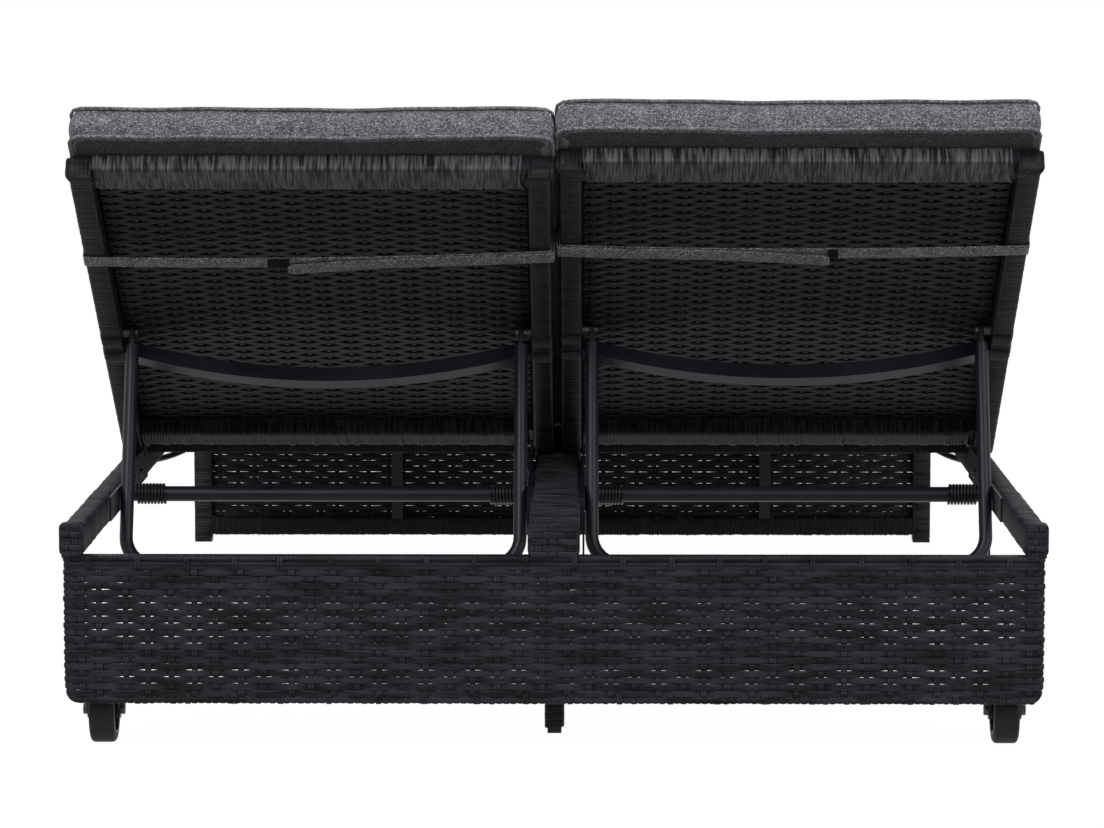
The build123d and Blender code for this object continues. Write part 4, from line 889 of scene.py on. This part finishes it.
def swelled(pad):
    """Cloth simulation of a pad in its own frame: pressure inside, held at seams and underside."""
    points, faces = pad.shell()
    data = bpy.data.meshes.new("pad_trial")
    data.from_pydata(points.tolist(), [], faces)
    trial = bpy.data.objects.new("pad_trial", data)
    scene.collection.objects.link(trial)
    start = coordinates(data)
    edge = np.minimum(pad.half - np.abs(start[:, 0]), np.minimum(start[:, 1] - pad.y0, pad.y1 - start[:, 1]))
    high = pad.thick - SEAM_HEIGHT
    near_seam = (np.abs(start[:, 2] - high) < SEAM_BAND) | (start[:, 2] < UNDERSIDE_DARK_TOP)
    held = trial.vertex_groups.new(name="held")
    fixed = ((edge < SEAM_REACH) & near_seam) | (start[:, 2] < HELD_LOW)
    held.add(np.flatnonzero(fixed).tolist(), 1.0, "REPLACE")
    cloth = trial.modifiers.new("cloth", "CLOTH")
    cloth.settings.use_pressure = True
    cloth.settings.uniform_pressure_force = 4.0
    cloth.settings.quality = 4
    cloth.settings.vertex_group_mass = "held"
    cloth.settings.effector_weights.gravity = 0.0
    cloth.point_cache.frame_start = 1
    cloth.point_cache.frame_end = LAST_STEP
    for step in range(1, LAST_STEP + 1):
        scene.frame_set(step)
    graph = bpy.context.evaluated_depsgraph_get()
    after = bpy.data.meshes.new_from_object(trial.evaluated_get(graph))
    move = coordinates(after) - start
    far = np.linalg.norm(move, axis=1)
    lean = pad.lean(start[:, 1], start[:, 2])
    to_end = np.minimum(np.abs(start[:, 1] - pad.y0 - lean), np.abs(start[:, 1] - pad.y1 - lean))
    most = np.where(to_end < 12 * MM, END_RISE, SIDE_RISE)
    most = np.where(start[:, 2] > high - SEAM_BAND, TOP_RISE, most)
    most = np.where(start[:, 0] < 2 * MM - pad.half, INNER_RISE, most)
    start += move * (np.minimum(1.0, most / np.maximum(far, 1e-9)))[:, None]
    faces = [list(face.vertices) for face in after.polygons]
    bpy.data.objects.remove(trial)
    scene.frame_set(1)
    return start, faces


def cushion(name, body, node, pad, place, mirror):
    """A cushion body and its piping; mirror -1 flips it across."""
    flip = np.array([mirror, 1, 1])
    local, faces = pad.soft
    gather = Gather()
    gather.points.append(place(local * flip))
    gather.faces = faces
    main = gather.finish(name, CUSHION, body, [node])
    # Faces of the underside inside the seams get the darker cloth
    main.data.materials.append(UNDERSIDE_DARK_CLOTH)
    for face in main.data.polygons:
        corners = local[list(face.vertices)]
        if corners[:, 2].max() < UNDERSIDE_DARK_TOP and pad.inside(corners):
            face.material_index = 1
    gather = Gather()
    pad.piping(gather, lambda points: place(points * flip))
    gather.finish(name + "_piping", PIPING_CLOTH, body)


BACK_PAD_START = 35.8 * MM


def make_pads():
    """The two pad shapes, simulated once each."""
    low_gap = 3 * MM + (BACK_PAD_START - BACK_MID) * LEAN
    back = Pad(low_gap, BACK_CUSHION_TOP, 5)
    low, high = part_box("seat_cushion_left")
    seat = Pad(low.y, high.y, 15)
    for pad in (back, seat):
        pad.soft = swelled(pad)
    return back, seat


def cushions(name, side, back, seat):
    """Back and seat cushion of one place."""
    place = back_axes(name)
    cushion("back_cushion_soft_" + name, "backrest_" + name, "back_cushion_" + name, back,
            lambda points: place(points + np.array([0, 0, BACK_PAD_START])), side)
    low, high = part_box("seat_cushion_" + name)
    centre = (low.x + high.x) / 2
    cushion("seat_cushion_soft_" + name, "base", "seat_cushion_" + name, seat,
            axes((centre, 0, low.z), (1, 0, 0), (0, 1, 0), (0, 0, 1)), side)


STRAP_RISE = {"left": (0.573, 0.026), "right": (0.582, 0.0)}
STRAP_WIDTH = 25 * MM
STRAP_THICK = 1.5 * MM
STRAP_SAG = 6 * MM
HOOK_CENTRE = 54 * MM
HOOK_LENGTH = {"left": 30 * MM, "right": 14 * MM}
LOOSE_REACH = 0.21
LOOSE_STAND = 3.5 * MM
LOOSE_DROP = 9 * MM


def strap_back(x, layer):
    """Depth of the strap's hanging rear run at a place across, for a layer's offset."""
    half = BACK_HALF + STRAP_THICK
    return -layer - STRAP_SAG * (1 - (x / half) ** 2)


def strap_loop():
    """Closed line of the strap's middle, as across and depth."""
    layer = STRAP_THICK / 2
    half = BACK_HALF + layer
    front = [(x, BACK_DEPTH + layer) for x in np.linspace(half - 2 * MM, -half + 2 * MM, 40)]
    left = [(-half, BACK_DEPTH - 2 * MM), (-half, BACK_MID), (-half, 1 * MM)]
    back = [(x, strap_back(x, layer)) for x in np.linspace(-half + 1 * MM, half - 1 * MM, 60)]
    right = [(half, 1 * MM), (half, BACK_MID), (half, BACK_DEPTH - 2 * MM)]
    return np.array(front + left + back + right)


def strap_strip(line, place, piece_name, name, material, nodes, closed, drop=None, blunt=False):
    """Flat webbing of even thickness along a line round the backrest."""
    ahead = np.roll(line, -1, 0) - np.roll(line, 1, 0)
    if not closed:
        ahead[0] = line[1] - line[0]
        ahead[-1] = line[-1] - line[-2]
    ahead /= np.linalg.norm(ahead, axis=1)[:, None]
    normal = np.stack([-ahead[:, 1], ahead[:, 0]], axis=-1)
    half = STRAP_THICK / 2
    edge = STRAP_WIDTH / 2
    rear = ((-edge, -half * 0.5), (-edge + 1 * MM, -half), (0, -half), (edge - 1 * MM, -half),
            (edge, -half * 0.5))
    shape = rear + tuple((-across, -out) for across, out in rear)
    level, slope = STRAP_RISE[name]
    rings = []
    for k, (point, way) in enumerate(zip(line, normal)):
        middle = level + slope * point[0] - (0.0 if drop is None else drop[k])
        narrow = 0.72 if blunt and k == 0 else 1.0
        rings.append([(point[0] + way[0] * out, middle + up * narrow, point[1] + way[1] * out)
                      for up, out in shape])
    gather = Gather()
    gather.rings(place(np.array(rings)[None]), closed=closed)
    piece = gather.finish(piece_name + name, material, "backrest_" + name, nodes)
    run = np.linalg.norm(np.diff(line, axis=0), axis=1).sum()
    if closed:
        run += np.linalg.norm(line[0] - line[-1])


def straps(name, side):
    """Strap loop, its hook tape and the layer that overlaps it with a loose end."""
    place = back_axes(name)
    strap_strip(strap_loop(), place, "strap_webbing_", name, WEBBING, ["back_strap_" + name], True)
    length = HOOK_LENGTH[name]
    centre = side * HOOK_CENTRE
    xs = np.linspace(centre - length / 2, centre + length / 2, 8)
    line = np.array([(x, strap_back(x, 1.5 * STRAP_THICK)) for x in xs])
    strap_strip(line, place, "strap_hook_tape_", name, HOOK, ["strap_patch_" + name], False)
    start = centre - side * (length / 2 - 2 * MM)
    layer = 2.7 * STRAP_THICK
    end = -side * (BACK_HALF + layer)
    xs = np.linspace(start, end + side * 1 * MM, 48)
    loose = np.clip(1 - np.abs(xs - start) / LOOSE_REACH, 0, 1) ** 2
    run = [(x, strap_back(x, layer) - LOOSE_STAND * free) for x, free in zip(xs, loose)]
    run += [(end, 0.5 * MM), (end, BACK_MID), (end, BACK_DEPTH - 3 * MM)]
    drop = np.append(LOOSE_DROP * loose, np.zeros(3))
    strap_strip(np.array(run), place, "strap_overlap_", name, WEBBING, [], False, drop, True)


# Stage

def shown_to(nodes, links, kinds):
    """Socket that is 1 for the named kinds of rays and 0 for the rest."""
    path = nodes.new("ShaderNodeLightPath")
    seen = path.outputs[kinds[0]]
    for kind in kinds[1:]:
        either = nodes.new("ShaderNodeMath")
        either.operation = "MAXIMUM"
        links.new(seen, either.inputs[0])
        links.new(path.outputs[kind], either.inputs[1])
        seen = either.outputs[0]
    return seen


FLOOR_REACH = 30.0
FLOOR_GLOW = 1.09
FLOOR_GLOW_SHARE = 0.9


def floor_material():
    """Matt floor that shows white where no shadow lies."""
    look = bpy.data.materials.new("floor")
    look.use_nodes = True
    nodes = look.node_tree.nodes
    links = look.node_tree.links
    base = nodes["Principled BSDF"]
    base.inputs["Base Color"].default_value = (0.32, 0.32, 0.32, 1)
    base.inputs["Roughness"].default_value = 0.9
    glow = nodes.new("ShaderNodeEmission")
    glow.inputs["Strength"].default_value = FLOOR_GLOW
    share = nodes.new("ShaderNodeMath")
    share.operation = "MULTIPLY"
    share.inputs[1].default_value = FLOOR_GLOW_SHARE
    links.new(shown_to(nodes, links, ("Is Camera Ray", "Is Glossy Ray")), share.inputs[0])
    mix = nodes.new("ShaderNodeMixShader")
    links.new(share.outputs[0], mix.inputs[0])
    links.new(base.outputs[0], mix.inputs[1])
    links.new(glow.outputs[0], mix.inputs[2])
    links.new(mix.outputs[0], nodes["Material Output"].inputs["Surface"])
    return look


def make_floor():
    """Large pale floor under the part."""
    data = bpy.data.meshes.new("floor")
    plan = ((-1, -1), (1, -1), (1, 1), (-1, 1))
    data.from_pydata([(x * FLOOR_REACH, y * FLOOR_REACH, 0) for x, y in plan], [], [(0, 1, 2, 3)])
    data.materials.append(floor_material())
    floor = bpy.data.objects.new("floor", data)
    scene.collection.objects.link(floor)


def make_world():
    """White surroundings that light the part at half strength."""
    world = bpy.data.worlds.new("studio")
    scene.world = world
    world.use_nodes = True
    nodes = world.node_tree.nodes
    links = world.node_tree.links
    back = nodes["Background"]
    level = nodes.new("ShaderNodeMapRange")
    level.inputs["To Min"].default_value = 0.5
    level.inputs["To Max"].default_value = 1.0
    seen = shown_to(nodes, links, ("Is Camera Ray", "Is Transmission Ray", "Is Glossy Ray"))
    links.new(seen, level.inputs["Value"])
    links.new(level.outputs["Result"], back.inputs["Strength"])
    back.inputs["Color"].default_value = (1, 1, 1, 1)


LAMPS = (("key", (-2.2, -4.2, 4.2), 2.6, 170.0, (0, -0.2, 0.3)),
         ("fill", (3.0, -3.4, 2.4), 2.6, 70.0, (0, 0, 0.3)),
         ("top", (0.0, 0.6, 4.4), 3.0, 90.0, (0, 0, 0.3)))


def make_lamps():
    """Soft lamps, each aimed at the part."""
    for name, where, size, power, aim in LAMPS:
        lamp = bpy.data.lights.new(name, "AREA")
        lamp.size = size
        lamp.energy = power
        obj = bpy.data.objects.new(name, lamp)
        obj.location = where
        way = np.array(aim, float) - np.array(where, float)
        obj.rotation_euler = (atan2(float(np.hypot(way[0], way[1])), -way[2]), 0, atan2(-way[0], way[1]))
        scene.collection.objects.link(obj)


def finish_cad():
    """Give every CAD node that still shows a finish from its slot."""
    slots = {row["node"]: row["material_slot"] for row in frame["record"]["subparts"]}
    for name, node in frame["nodes"].items():
        look = SLOT_LOOKS.get(slots[name])
        if look is None:
            continue
        if not node.material_slots:
            node.data.materials.append(look)
        for place in node.material_slots:
            place.material = look


make_camera()
make_floor()
make_world()
make_lamps()
finish_cad()
back_pad, seat_pad = make_pads()
head_panel()
foot_panel()
base_wraps()
head_ends()
leg_sleeves()
for side_name, side_way in SIDES:
    seat_panel(side_name)
    back_panel(side_name)
    back_wraps(side_name)
    cross_wrap(side_name, "back_top_rail_wrap_", TOP_RAIL, 84, WOUND_TOP_PAINTED_HIGHLIGHT)
    cross_wrap(side_name, "back_low_rail_wrap_", LOW_RAIL, 85, WOUND_LOW_PAINTED_SHADE)
    cushions(side_name, side_way, back_pad, seat_pad)
    straps(side_name, side_way)
